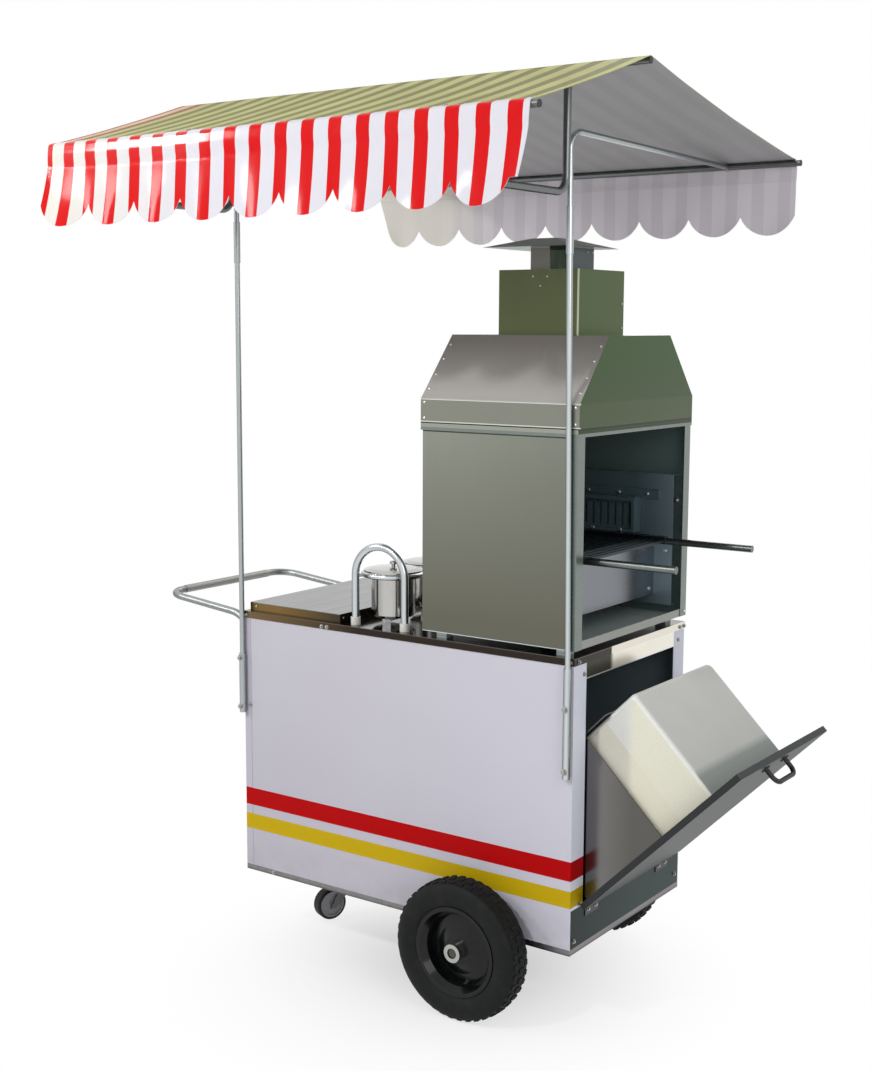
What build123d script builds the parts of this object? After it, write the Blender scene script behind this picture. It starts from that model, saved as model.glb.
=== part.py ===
from build123d import *
import os
from math import copysign, cos, hypot, radians, sin

# Hot dog cart: a sheet metal body on two wheels and a caster, with a grill oven, a tilt-out cooler bin and
# a canopy. X runs along the cart to the door end, the front faces -Y, and Z is up from the floor.

# Driving dimensions of the body, in millimetres
body_length = 1034
body_depth = 574
sheet = 2
rail_bottom = 200
rail_height = 15
rail_width = 25
worktop_top = 928
rim_height = 18

# Running gear
wheel_diameter = 355
wheel_x = 248
wheel_y = 352
tyre_width = 84
axle_diameter = 20
caster_x = -400
caster_trail = 50
caster_diameter = 90
caster_turn = 67

# Tilt-out door at the right end, drawn shut and tipped out by door_angle
door_angle = 45
hinge_x = 523
hinge_z = 316
door_height = 554
door_half_width = 257
door_flange = 16
jamb_width = 59
sill_z = 312
lintel_z = 870
bin_half = 222
bin_depth = 304
bin_back_height = 365
bin_side_height = 284
foam_depth = 300
foam_half = 210
foam_height = 451
foam_lid_height = 105
foam_wall = 28
pull_reach = 42
pull_tube = 12
pull_height = 522

# Grill oven on the right of the worktop
oven_left = 80
oven_bottom = 945
oven_top = 1464
hood_shoulder = 1520
hood_top = 1675
hood_flat = 155
hood_overlap = 5
chimney_size = 226
chimney_top = 1833
flue_size = 114
cap_size = 248
cap_low = 1888
cap_rise = 24
cap_flat = 70
cap_shift = 32
rail_y = 210
rail_z = 1148
rod_diameter = 18
rod_end = 735
gas_x = 300
gas_z = 1205

# Pot rack and covered basin on the left of the worktop
lid_left = -502
lid_right = -191
lid_half_depth = 277
lid_height = 24
basin_depth = 150
guard_x = -75
guard_y = -258
guard_half_width = 79
guard_tube = 20
pot_x = -98
pot_y = -169
pot_pitch = 170
pot_radius = 58
pot_base = 945
ring_z = 1056
ring_radius = 78
ring_tube = 14

# Canopy frame and cloth
roof_left = -673
roof_right = 696
front_eave_y = -763
back_eave_y = 531
eave_z = 2118
ridge_z = 2260
roof_tube = 16
post_tube = 14
socket_tube = 19
arm_tube = 18
tube_wall = 1.5
left_post_x = -516
right_post_x = 505
post_lean = 15
front_arm_z = 1992
cloth = 1.5
scallops = 9
front_pitch = 148.5
front_drop = 190
back_drop = 182
cusp_share = 0.73
crease_share = 0.22
flare = 20

# Push handle at the left end
handle_x = -845
handle_z = 938
handle_half_width = 250
handle_tube = 20
grip_wall = 1.2
grip_half_length = 178

# Clearances: between turning pieces, beside a turning hub, and between curved faces that slide
running_fit = 0.06
side_play = 0.3
slide_gap = 0.3

# Values worked out from the dimensions above
half_length = body_length / 2
half_depth = body_depth / 2
inside_x = half_length - sheet
inside_y = half_depth - sheet
floor_z = rail_bottom + rail_height
panel_top = worktop_top - sheet
wheel_radius = wheel_diameter / 2
opening_half = half_depth - jamb_width
tilt = radians(door_angle)
door_in = hinge_x - 3
door_out = door_in + door_flange
post_y = -(half_depth + socket_tube / 2)
ridge_y = post_y - post_tube / 2 - arm_tube / 2
cloth_offset = roof_tube / 2 + 0.15

# The origin lies on the floor under the middle of the whole cart's box
pull_x = hinge_x + (door_out - hinge_x + pull_reach) * cos(tilt) + pull_height * sin(tilt)
x_low = handle_x - handle_tube / 2 - grip_wall
x_high = pull_x + pull_tube / 2
y_low = front_eave_y - cloth_offset - cloth - flare
y_high = back_eave_y + cloth_offset + cloth
origin_shift = Pos(-(x_low + x_high) / 2, -(y_low + y_high) / 2, 0)


def block(x0, x1, y0, y1, z0, z1):
    """A rectangular solid between two corners."""
    middle = Pos((x0 + x1) / 2, (y0 + y1) / 2, (z0 + z1) / 2)
    return middle * Box(abs(x1 - x0), abs(y1 - y0), abs(z1 - z0))


def angle_bar(x, y, leg_x, leg_y, low, high):
    """An upright sheet angle with its outer corner at a place, and legs along X and Y from there."""
    along_x = block(x, x + leg_x, y, y + copysign(sheet, leg_y), low, high)
    return along_x + block(x, x + copysign(sheet, leg_x), y, y + leg_y, low, high)


def rod(start, end, diameter):
    """A round bar between two points."""
    axis = Vector(*end) - Vector(*start)
    bar = Cylinder(diameter / 2, axis.length, align=(Align.CENTER, Align.CENTER, Align.MIN))
    return Plane(origin=start, z_dir=axis) * bar


def across(x, z, start_y, end_y, diameter):
    """A round bar along Y."""
    return rod((x, start_y, z), (x, end_y, z), diameter)


def upright(x, y, low, high, diameter):
    """A round bar along Z."""
    return rod((x, y, low), (x, y, high), diameter)


def bent_tube(path, diameter, wall):
    """A round tube along a path of straight runs and bends."""
    ring = Circle(diameter / 2) - Circle(diameter / 2 - wall)
    return sweep(Plane(origin=path @ 0, z_dir=path % 0) * ring, path=path)


def turned(points, centre):
    """A solid of revolution about an axis along Y, from radius and offset pairs."""
    return Pos(*centre) * revolve(make_face(Polyline(*points, close=True)), Axis.Y, 360)


def shell(solid, axis, end):
    """A sheet metal shell of a solid, open at its last (-1) or first (0) face along an axis."""
    return offset(solid, amount=-sheet, openings=solid.faces().sort_by(axis)[end])


def on_door(shape):
    """Moves a shape drawn with the door shut to the tipped-out pose."""
    axle = Pos(hinge_x, 0, hinge_z)
    return axle * Rot(0, door_angle, 0) * Pos(-hinge_x, 0, -hinge_z) * shape


def save(name, *shapes):
    """Writes one named piece, or a group of separate solids, in the cart's own frame."""
    solids = [solid for shape in shapes for solid in (origin_shift * shape).solids()]
    whole = solids[0] if len(solids) == 1 else Compound(children=solids)
    export_step(whole, f"parts/{name}.step")


os.makedirs("parts", exist_ok=True)

# Base frame: a ring of rails with two cross rails
inner_x = half_length - rail_width
inner_y = half_depth - rail_width
cross_half = 25
base_frame = block(-half_length, half_length, -half_depth, half_depth, rail_bottom, floor_z)
base_frame -= block(-inner_x, inner_x, -inner_y, inner_y, rail_bottom, floor_z)
for cross_x in (caster_x, wheel_x):
    base_frame += block(cross_x - cross_half, cross_x + cross_half, -inner_y, inner_y, rail_bottom, floor_z)
save("base_frame", base_frame)

# Axle in two hanger plates with welded spacer sleeves, and a retaining collar in each hub's recess
hub_half = 42
hub_recess = 14
hanger_outside = half_depth - 10
hanger_inside = hanger_outside - 6
hanger_half = 35
hanger_eye = 44
sleeve_diameter = 30
collar_diameter = 25
collar_width = 8
axle_end = wheel_y + hub_half - 2
axle_pieces = [across(wheel_x, wheel_radius, -axle_end, axle_end, axle_diameter)]
hangers = []
for side in (-1, 1):
    inner = side * hanger_inside
    outer = side * hanger_outside
    sleeve_end = side * (wheel_y - hub_half - side_play)
    hanger = block(wheel_x - hanger_half, wheel_x + hanger_half, inner, outer, wheel_radius, rail_bottom)
    hanger += across(wheel_x, wheel_radius, inner, outer, hanger_eye)
    hanger += across(wheel_x, wheel_radius, outer, sleeve_end, sleeve_diameter)
    hangers.append(hanger - across(wheel_x, wheel_radius, inner, sleeve_end, axle_diameter))
    collar_in = side * (wheel_y + hub_half - hub_recess + side_play)
    collar_out = collar_in + side * collar_width
    collar = across(wheel_x, wheel_radius, collar_in, collar_out, collar_diameter)
    axle_pieces.append(collar - across(wheel_x, wheel_radius, collar_in, collar_out, axle_diameter))
save("axle_hangers", *hangers)
save("axle", *axle_pieces)

# Road wheels: treaded tyre on a dished rim, and a hub with its bush bored for the axle
bead = 106
lip = 114
rim_half = 31
rim_lip = rim_half + 3
well = 94
disc_edge = 91
lug_height = 2.5
lug_length = 13
lugs_per_row = 42
lug_pitch = 21
shoulder_lug = 13
middle_lug = 17
shoulder_drop = 2.5
crown = wheel_radius - lug_height
tyre_half = tyre_width / 2
cavity = tyre_half - 16
hub_radius = 23
recess_radius = 13
bore_radius = axle_diameter / 2 + running_fit
for wheel_name, side in (("near", -1), ("far", 1)):
    centre = (wheel_x, side * wheel_y, wheel_radius)
    section = make_face(
        [
            Line((bead, -rim_half), (bead, -rim_half + 7)),
            ThreePointArc((bead, -rim_half + 7), (crown - 34, -tyre_half + 8), (crown - 10, -cavity)),
            ThreePointArc((crown - 10, -cavity), (crown - 7, 0), (crown - 10, cavity)),
            ThreePointArc((crown - 10, cavity), (crown - 34, tyre_half - 8), (bead, rim_half - 7)),
            Line((bead, rim_half - 7), (bead, rim_half)),
            Line((bead, rim_half), (lip, rim_half)),
            ThreePointArc((lip, rim_half), (crown - 34, tyre_half), (crown - 5, tyre_half - 9)),
            ThreePointArc((crown - 5, tyre_half - 9), (crown, 0), (crown - 5, -tyre_half + 9)),
            ThreePointArc((crown - 5, -tyre_half + 9), (crown - 34, -tyre_half), (lip, -rim_half)),
            Line((lip, -rim_half), (bead, -rim_half)),
        ]
    )
    lugs = []
    for row, width, drop, phase in (
        (-1, shoulder_lug, shoulder_drop, 0),
        (0, middle_lug, 0, 0.5),
        (1, shoulder_lug, shoulder_drop, 0),
    ):
        lug = Pos(crown - drop, row * lug_pitch, 0) * Box(2 * lug_height, width, lug_length)
        for index in range(lugs_per_row):
            lugs.append(Rot(0, 360 / lugs_per_row * (index + phase), 0) * lug)
    save(f"{wheel_name}_tyre", Pos(*centre) * (revolve(section, Axis.Y, 360) + lugs))
    rim = [
        (lip - 1, rim_lip),
        (lip - 1, rim_half),
        (bead, rim_half),
        (bead, rim_half - 8),
        (well, rim_half - 16),
        (well, -rim_half + 16),
        (bead, -rim_half + 8),
        (bead, -rim_half),
        (lip - 1, -rim_half),
        (lip - 1, -rim_lip),
        (bead - 3, -rim_lip),
        (disc_edge, -rim_half + 13),
        (disc_edge, -4),
        (60, 5),
        (35, 17),
        (hub_radius, 17),
        (hub_radius, 20),
        (36, 20),
        (62, 8),
        (disc_edge, 1),
        (disc_edge, rim_half - 13),
        (bead - 3, rim_lip),
    ]
    save(f"{wheel_name}_rim", turned([(radius, side * place) for radius, place in rim], centre))
    hub = [
        (bore_radius, -hub_half),
        (hub_radius, -hub_half),
        (hub_radius, hub_half),
        (recess_radius, hub_half),
        (recess_radius, hub_half - hub_recess),
        (bore_radius, hub_half - hub_recess),
    ]
    save(f"{wheel_name}_hub", turned([(radius, side * place) for radius, place in hub], centre))

# Caster: drop leg, plate and king pin on the frame, and the swivel fork with its bolt and wheel, turned aside
leg_half = 20
leg_bore = leg_half - 3
pad_bottom = rail_bottom - 5
plate_top = 116
plate_bottom = 112
race_bottom = 106
race_diameter = 42
crown_top = race_bottom - 0.4
crown_bottom = 100
king_diameter = 10
king_head = 18
king_low = 94
king_head_top = crown_bottom - 0.5
caster_radius = caster_diameter / 2
roller_half = 18
fork_inner = roller_half + 1
fork_outer = fork_inner + 3
bolt_diameter = 8
bolt_head = 15
bolt_end = fork_outer + 5
on_caster = Pos(caster_x, 0, 0)
on_swivel = on_caster * Rot(0, 0, caster_turn)
caster_leg = block(-leg_half, leg_half, -leg_half, leg_half, plate_top, pad_bottom)
caster_leg -= block(-leg_bore, leg_bore, -leg_bore, leg_bore, plate_top, pad_bottom)
caster_leg += block(-cross_half, cross_half, -35, 35, pad_bottom, rail_bottom)
caster_plate = block(-38, 38, -32, 32, plate_bottom, plate_top)
caster_plate += upright(0, 0, race_bottom, plate_bottom, race_diameter)
caster_plate -= upright(0, 0, race_bottom, plate_top, king_diameter)
king_pin = upright(0, 0, king_low, plate_top, king_diameter)
king_pin += upright(0, 0, king_low, king_head_top, king_head)
save("caster_mount", on_caster * caster_leg, on_caster * caster_plate, on_caster * king_pin)
cheek_outline = make_face(
    Polyline(
        (-22, crown_bottom),
        (22, crown_bottom),
        (-caster_trail + 10, caster_radius - 10),
        (-caster_trail - 10, caster_radius - 10),
        close=True,
    )
)
cheek = extrude(Plane.XZ * cheek_outline, fork_outer - fork_inner)
fork = block(-25, 25, -fork_outer, fork_outer, crown_bottom, crown_top)
fork += Pos(0, fork_outer, 0) * cheek
fork += Pos(0, -fork_inner, 0) * cheek
fork -= upright(0, 0, crown_bottom, crown_top, king_diameter + 2 * running_fit)
fork -= across(-caster_trail, caster_radius, -fork_outer, fork_outer, bolt_diameter)
bolt = across(-caster_trail, caster_radius, -bolt_end, bolt_end, bolt_diameter)
for side in (-1, 1):
    bolt += across(-caster_trail, caster_radius, side * fork_outer, side * bolt_end, bolt_head)
save("caster_fork", on_swivel * fork, on_swivel * bolt)
caster_bore = bolt_diameter / 2 + running_fit
half_tread = [
    (caster_bore, -roller_half),
    (11, -roller_half),
    (11, -roller_half + 5),
    (32, -roller_half + 5),
    (32, -roller_half + 2),
    (41, -roller_half + 1),
    (caster_radius, -roller_half + 5),
]
tread = half_tread + [(radius, -place) for radius, place in reversed(half_tread)]
save("caster_wheel", on_swivel * turned(tread, (-caster_trail, 0, caster_radius)))

# Cabinet: folded front and rear panels, ends, floor and corner angles
for panel_name, side in (("front_panel", -1), ("rear_panel", 1)):
    outer = side * half_depth
    inner = side * inside_y
    panel = block(-half_length, half_length, outer, inner, floor_z, panel_top)
    jamb = block(inside_x, half_length, inner, side * opening_half, sill_z, panel_top)
    save(panel_name, panel + jamb)
lip_depth = 12
save("left_end_panel", block(-half_length, -inside_x, -inside_y, inside_y, floor_z, panel_top))
lower_end = block(inside_x, half_length, -inside_y, inside_y, floor_z, sill_z)
lower_end += block(inside_x - lip_depth, inside_x, -opening_half, opening_half, sill_z - sheet, sill_z)
save("end_lower_panel", lower_end)
lintel = block(inside_x, half_length, -opening_half, opening_half, lintel_z, panel_top)
lintel += block(inside_x - lip_depth, inside_x, -opening_half, opening_half, lintel_z, lintel_z + sheet)
save("door_lintel", lintel)
save("floor_panel", block(-inside_x, inside_x, -inside_y, inside_y, floor_z, floor_z + sheet))
corner_leg = 25
corner_angles = []
for end in (-1, 1):
    for side in (-1, 1):
        leg_x = -end * corner_leg
        leg_y = -side * corner_leg
        angle = angle_bar(end * inside_x, side * inside_y, leg_x, leg_y, floor_z + sheet, panel_top)
        corner_angles.append(angle)
save("corner_angles", *corner_angles)

# Worktop with a folded rim, a hung basin and its lift-off lid
edge_x = half_length + sheet
edge_y = half_depth + sheet
lid_margin = 22
basin_left = lid_left + lid_margin
basin_right = lid_right - lid_margin
basin_half = lid_half_depth - lid_margin
basin_flange = 14
hole_gap = 4
basin_corner = 30
basin_floor = worktop_top - basin_depth
worktop = shell(block(-edge_x, edge_x, -edge_y, edge_y, worktop_top - rim_height, worktop_top), Axis.Z, 0)
bowl = block(basin_left, basin_right, -basin_half, basin_half, basin_floor, worktop_top + sheet)
bowl = fillet(bowl.edges().filter_by(Axis.Z), basin_corner)
hole_left = basin_left - hole_gap
hole_right = basin_right + hole_gap
hole_half = basin_half + hole_gap
worktop -= block(hole_left, hole_right, -hole_half, hole_half, worktop_top - sheet, worktop_top)
save("worktop", worktop)
flange_left = basin_left - basin_flange
flange_right = basin_right + basin_flange
flange_half = basin_half + basin_flange
bowl_rim = block(flange_left, flange_right, -flange_half, flange_half, worktop_top, worktop_top + sheet)
save("basin", shell(bowl, Axis.Z, -1) + (bowl_rim - bowl))
lid_top = worktop_top + lid_height
basin_lid = block(lid_left, lid_right, -lid_half_depth, lid_half_depth, worktop_top, lid_top)
save("basin_lid", shell(basin_lid, Axis.Z, 0))

# Pot rack: an arched tube guard with two tube rings welded on behind it and a rear leg, in foot ferrules
foot_z = worktop_top + 3
ferrule_top = worktop_top + 20
ferrule_wall = 2.5
arch_z = worktop_top + 130
rear_leg_tube = 16
weld_diameter = 8
left_leg = guard_x - guard_half_width
right_leg = guard_x + guard_half_width
arch_top = (guard_x, guard_y, arch_z + guard_half_width)
arch = Line((left_leg, guard_y, foot_z), (left_leg, guard_y, arch_z))
arch += ThreePointArc((left_leg, guard_y, arch_z), arch_top, (right_leg, guard_y, arch_z))
arch += Line((right_leg, guard_y, arch_z), (right_leg, guard_y, foot_z))
guard = bent_tube(arch, guard_tube, tube_wall)
rear_pot_y = pot_y + pot_pitch
rear_leg_y = rear_pot_y + ring_radius
rings = upright(pot_x, rear_leg_y, foot_z, ring_z, rear_leg_tube)
for ring_y in (pot_y, rear_pot_y):
    rings += Pos(pot_x, ring_y, ring_z) * Torus(ring_radius, ring_tube / 2)
rings += across(pot_x, ring_z, pot_y + ring_radius, rear_pot_y - ring_radius, weld_diameter)
for leg_x in (left_leg, right_leg):
    leg_place = Vector(leg_x, guard_y, ring_z)
    ring_middle = Vector(pot_x, pot_y, ring_z)
    weld_end = ring_middle + (leg_place - ring_middle).normalized() * ring_radius
    weld = rod(tuple(leg_place), tuple(weld_end), weld_diameter)
    rings += weld - upright(leg_x, guard_y, foot_z, arch_z, guard_tube)
save("pot_rack", guard, rings)
ferrules = []
for foot_x, foot_y, foot_tube in (
    (left_leg, guard_y, guard_tube),
    (right_leg, guard_y, guard_tube),
    (pot_x, rear_leg_y, rear_leg_tube),
):
    cup = upright(foot_x, foot_y, worktop_top, ferrule_top, foot_tube + 2 * ferrule_wall)
    ferrules.append(cup - upright(foot_x, foot_y, foot_z, ferrule_top, foot_tube))
save("rack_ferrules", *ferrules)

# Two pots with flared rims hung in the rings, their lids and the clips that they stand on
pot_wall = 1.5
pot_rim = 78
rim_z = ring_z + ring_tube / 2 + slide_gap
lid_seat = rim_z + pot_wall
crown_edge = pot_radius + 2
dish_edge = pot_rim - 5
knob = 10
knob_z = lid_seat + 9
clip_half = 13
clip_depth = 42
clip_offset = 24
clips = []
for pot_name, place_y in (("front", pot_y), ("rear", rear_pot_y)):
    pot_outline = Polyline(
        (0, pot_base),
        (pot_radius - 6, pot_base),
        (pot_radius, pot_base + 6),
        (pot_radius, rim_z - 10),
        (pot_radius + 5, rim_z),
        (pot_rim, rim_z),
        (pot_rim, rim_z + pot_wall),
        (pot_radius + 3.5, rim_z + pot_wall),
        (pot_radius - pot_wall, rim_z - 9),
        (pot_radius - pot_wall, pot_base + 6.6),
        (pot_radius - 6.6, pot_base + pot_wall),
        (0, pot_base + pot_wall),
        close=True,
    )
    place = Pos(pot_x, place_y, 0)
    save(f"{pot_name}_pot", place * revolve(Plane.XZ * make_face(pot_outline), Axis.Z, 360))
    cover_outline = Polyline(
        (0, lid_seat + 7),
        (crown_edge, lid_seat + 4),
        (dish_edge, lid_seat),
        (pot_rim - 1, lid_seat),
        (pot_rim - 1, lid_seat + 2),
        (dish_edge, lid_seat + 2),
        (crown_edge, lid_seat + 6),
        (knob / 2, knob_z),
        (knob / 2, knob_z + 5),
        (knob, knob_z + 7),
        (knob, knob_z + 13),
        (knob - 3, knob_z + 15),
        (0, knob_z + 15),
        close=True,
    )
    save(f"{pot_name}_pot_lid", place * revolve(Plane.XZ * make_face(cover_outline), Axis.Z, 360))
    clip_y = place_y - pot_radius - 4
    clip_end = clip_y + clip_depth
    clip_left = pot_x + clip_offset - clip_half
    clip_right = pot_x + clip_offset + clip_half
    clip_low = worktop_top + sheet
    clip = block(clip_left, clip_right, clip_y, clip_end, worktop_top, pot_base)
    clip -= block(clip_left, clip_right, clip_y + sheet, clip_end, clip_low, pot_base - sheet)
    clips.append(clip)
save("pot_clips", *clips)

# Grill oven: a lipped floor on feet, three walls round two grate rails, corner angles and a top band
oven_right = half_length
foot = 30
foot_inset = 20
floor_lip = 20
wall_z = oven_bottom + sheet
gas_pipe_diameter = 12
feet = []
for foot_x in (oven_left + foot, oven_right - 2 * foot):
    for foot_y in (-half_depth + foot_inset, half_depth - foot_inset - foot):
        feet.append(block(foot_x, foot_x + foot, foot_y, foot_y + foot, worktop_top, oven_bottom))
oven_floor = block(oven_left, oven_right, -half_depth, half_depth, oven_bottom, wall_z)
lip_top = oven_bottom + floor_lip
oven_floor += block(oven_right - sheet, oven_right, -inside_y, inside_y, oven_bottom, lip_top)
save("oven_floor", oven_floor, *feet)
front_wall = block(oven_left, oven_right, -half_depth, -inside_y, wall_z, oven_top)
rear_wall = block(oven_left, oven_right, inside_y, half_depth, wall_z, oven_top)
rear_wall -= across(gas_x, gas_z, inside_y, half_depth, gas_pipe_diameter)
rails = [rod((oven_left, y, rail_z), (rod_end, y, rail_z), rod_diameter) for y in (-rail_y, rail_y)]
left_wall = block(oven_left, oven_left + sheet, -inside_y, inside_y, wall_z, oven_top) - rails
save("oven_walls", front_wall, left_wall, rear_wall)
save("grate_rails", *rails)
band_low = oven_top - 20
hood_left = oven_left - hood_overlap
hood_right = oven_right + hood_overlap
hood_half = half_depth + sheet
band = block(hood_left, hood_right, -hood_half, hood_half, band_low, oven_top)
band -= block(oven_left, oven_right, -half_depth, half_depth, band_low, oven_top)
trim = [band]
for side in (-1, 1):
    corner_y = side * (half_depth + sheet)
    strip = angle_bar(oven_right + sheet, corner_y, -22, -side * 32, oven_bottom, band_low)
    trim.append(strip)
save("oven_trim", *trim)

# Hood, chimney box, and a hipped cap on two flue channels that leave a gap at the front and the rear
chimney_x = (oven_left + oven_right) / 2
chimney_half = chimney_size / 2
throat = chimney_half - sheet
flue_half = flue_size / 2
flue_hole = flue_half - sheet
hood_outline = Polyline(
    (-hood_half, oven_top),
    (hood_half, oven_top),
    (hood_half, hood_shoulder),
    (hood_flat, hood_top),
    (-hood_flat, hood_top),
    (-hood_half, hood_shoulder),
    close=True,
)
hood = Pos(hood_left, 0, 0) * extrude(Plane.YZ * make_face(hood_outline), hood_right - hood_left)
hood = shell(hood, Axis.Z, 0)
hood -= block(chimney_x - throat, chimney_x + throat, -throat, throat, hood_top - sheet, hood_top)
save("hood", hood)
chimney_left = chimney_x - chimney_half
chimney_right = chimney_x + chimney_half
chimney = block(chimney_left, chimney_right, -chimney_half, chimney_half, hood_top, chimney_top)
chimney = shell(chimney, Axis.Z, 0)
chimney -= block(chimney_x - flue_hole, chimney_x + flue_hole, -flue_hole, flue_hole, hood_top, chimney_top)
save("chimney_box", chimney)
cap_x = chimney_x - cap_shift
cap_half = cap_size / 2
cap_top = cap_low + cap_rise
hip = loft(
    [
        Pos(cap_x, 0, cap_low) * Rectangle(cap_size, cap_size),
        Pos(cap_x, 0, cap_top) * Rectangle(cap_flat, cap_flat),
    ]
)
under_hip = Pos(0, 0, -sheet) * hip
cap_pieces = [hip - under_hip]
under_hip += block(cap_x - cap_half, cap_x + cap_half, -cap_half, cap_half, chimney_top, cap_low - sheet)
left_return = 54
right_return = 12
for end, leg in ((-1, left_return), (1, right_return)):
    wall_x = chimney_x + end * flue_half
    channel = block(wall_x, wall_x - end * leg, -flue_half, flue_half, chimney_top, cap_top)
    channel -= block(wall_x - end * sheet, wall_x - end * leg, -flue_hole, flue_hole, chimney_top, cap_top)
    cap_pieces.append(channel & under_hip)
save("chimney_cap", *cap_pieces)

# Inside the oven: heat shield, burner on its bracket, gas pipe, apron and sliding grate
shield_y = 257
shield_left = 110
shield_right = 491
shield_low = 972
shield_high = 1316
shield = block(shield_left, shield_right, shield_y, inside_y, shield_low, shield_high)
gap_low = shield_low + sheet
gap_high = shield_high - sheet
shield -= block(shield_left, shield_right, shield_y + sheet, inside_y, gap_low, gap_high)
shield -= across(gas_x, gas_z, shield_y, shield_y + sheet, gas_pipe_diameter)
save("heat_shield", shield)
burner_half = 95
burner_low = 1160
burner_high = 1250
burner_y = shield_y - 34
burner_frame = 8
plaque_y = burner_y + 10
plaque_slots = 8
slot_half = 4
pipe_start = shield_y - 12
burner_left = gas_x - burner_half
burner_right = gas_x + burner_half
burner = block(burner_left, burner_right, burner_y, shield_y, burner_low, burner_high)
burner -= block(
    burner_left + burner_frame,
    burner_right - burner_frame,
    burner_y,
    plaque_y,
    burner_low + burner_frame,
    burner_high - burner_frame,
)
slot_margin = 2 * burner_frame + 2
slot_step = (2 * burner_half - 2 * slot_margin) / (plaque_slots - 1)
for index in range(plaque_slots):
    slot_x = burner_left + slot_margin + index * slot_step
    slot_low = burner_low + 2 * burner_frame
    slot_high = burner_high - 2 * burner_frame
    burner -= block(slot_x - slot_half, slot_x + slot_half, plaque_y, plaque_y + 6, slot_low, slot_high)
burner -= across(gas_x, gas_z, pipe_start, shield_y, gas_pipe_diameter)
bracket_half = 150
bracket_top = burner_high + 24
bracket = block(gas_x - bracket_half, gas_x + bracket_half, shield_y - 4, shield_y, burner_high, bracket_top)
bracket += block(burner_left, burner_right, burner_y + 4, shield_y, burner_high, burner_high + 3)
save("burner", burner, bracket)
nipple_diameter = 9.5
nipple_length = 27
gas_bore = 6
nipple_end = half_depth + 45
nipple_start = nipple_end - nipple_length
gas_pipe = across(gas_x, gas_z, pipe_start, nipple_start, gas_pipe_diameter)
gas_pipe += across(gas_x, gas_z, half_depth, half_depth + 8, 22)
gas_pipe += across(gas_x, gas_z, nipple_start, nipple_end, nipple_diameter)
save("gas_pipe", gas_pipe - across(gas_x, gas_z, pipe_start, nipple_end, gas_bore))
apron_x = 437
apron_low = 998
apron_top = rail_z - 7
apron = block(apron_x, apron_x + sheet, -inside_y, shield_y, apron_low, apron_top)
apron += block(apron_x - 15, apron_x, -inside_y, -inside_y + sheet, apron_low, apron_top)
save("apron", apron - rails)
grate_left = 110
grate_right = 497
grate_bars = 19
bar_half = 3
runner_drop = 5
runner_half = rod_diameter / 2 + slide_gap
runner_top = rail_z + runner_half
bar_reach = rail_y - runner_half - sheet
bar_step = (grate_right - grate_left - 2 * bar_half) / (grate_bars - 1)
grate = []
for middle in (-rail_y, rail_y):
    runner = block(
        grate_left,
        grate_right,
        middle - runner_half - sheet,
        middle + runner_half + sheet,
        rail_z - runner_drop,
        runner_top + sheet,
    )
    runner -= block(
        grate_left,
        grate_right,
        middle - runner_half,
        middle + runner_half,
        rail_z - runner_drop,
        runner_top,
    )
    grate.append(runner)
for index in range(grate_bars):
    bar_x = grate_left + bar_half + index * bar_step
    grate.append(block(bar_x - bar_half, bar_x + bar_half, -bar_reach, bar_reach, rail_z - 3, rail_z + 4))
save("sliding_grate", grate[0] + grate[1:])

# Door pan, hung bin, pull, butt hinges and the foam cooler, drawn shut and tipped out together
door_low = hinge_z + 7
pan = block(door_in, door_out, -door_half_width, door_half_width, door_low, door_low + door_height)
save("door_panel", on_door(shell(pan, Axis.X, 0)))
bin_back = hinge_x - bin_depth
bin_front = door_out - sheet
bin_low = door_low + sheet
side_top = hinge_z + bin_side_height
bin_tray = block(bin_back, bin_front, -bin_half, bin_half, bin_low, bin_low + sheet)
bin_tray += block(bin_back, bin_back + sheet, -bin_half, bin_half, bin_low, hinge_z + bin_back_height)
for side in (-1, 1):
    cheek_y = side * bin_half
    bin_tray += block(bin_back, bin_front, cheek_y, cheek_y - side * sheet, bin_low, side_top)
save("door_bin", on_door(bin_tray))
pull_z = hinge_z + pull_height
pull_half = 55
pull_bend = 20
pull_plate = 24
pull_line = FilletPolyline(
    (door_out, -pull_half, pull_z),
    (door_out + pull_reach, -pull_half, pull_z),
    (door_out + pull_reach, pull_half, pull_z),
    (door_out, pull_half, pull_z),
    radius=pull_bend,
)
pull = sweep(Plane(origin=pull_line @ 0, z_dir=pull_line % 0) * Circle(pull_tube / 2), path=pull_line)
for side in (-1, 1):
    pull += rod((door_out, side * pull_half, pull_z), (door_out + 3, side * pull_half, pull_z), pull_plate)
save("door_pull", on_door(pull))
knuckle = 9
hinge_pin = 4
leaf_half = 32
leaf_height = 36
middle_half = 12
knuckle_gap = 0.5
fixed_side = []
door_side = []
for place in (-185, 185):
    low = place - leaf_half
    high = place + leaf_half
    slot_low = place - middle_half
    slot_high = place + middle_half
    fixed = block(half_length, half_length + sheet, low, high, hinge_z - leaf_height, hinge_z)
    fixed += across(hinge_x, hinge_z, low, high, knuckle)
    slot_top = hinge_z + knuckle
    fixed -= block(half_length, hinge_x + knuckle, slot_low, slot_high, hinge_z - knuckle / 2 - 1, slot_top)
    fixed -= across(hinge_x, hinge_z, low, high, hinge_pin)
    fixed_side += [fixed, across(hinge_x, hinge_z, low, high, hinge_pin)]
    slot_low += knuckle_gap
    slot_high -= knuckle_gap
    moving = across(hinge_x, hinge_z, slot_low, slot_high, knuckle)
    moving += block(hinge_x, hinge_x + knuckle / 2, slot_low, slot_high, hinge_z, door_low - sheet)
    moving += block(hinge_x, door_out, low, high, door_low - sheet, door_low)
    door_side.append(on_door(moving - across(hinge_x, hinge_z, low, high, hinge_pin + 2 * running_fit)))
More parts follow.
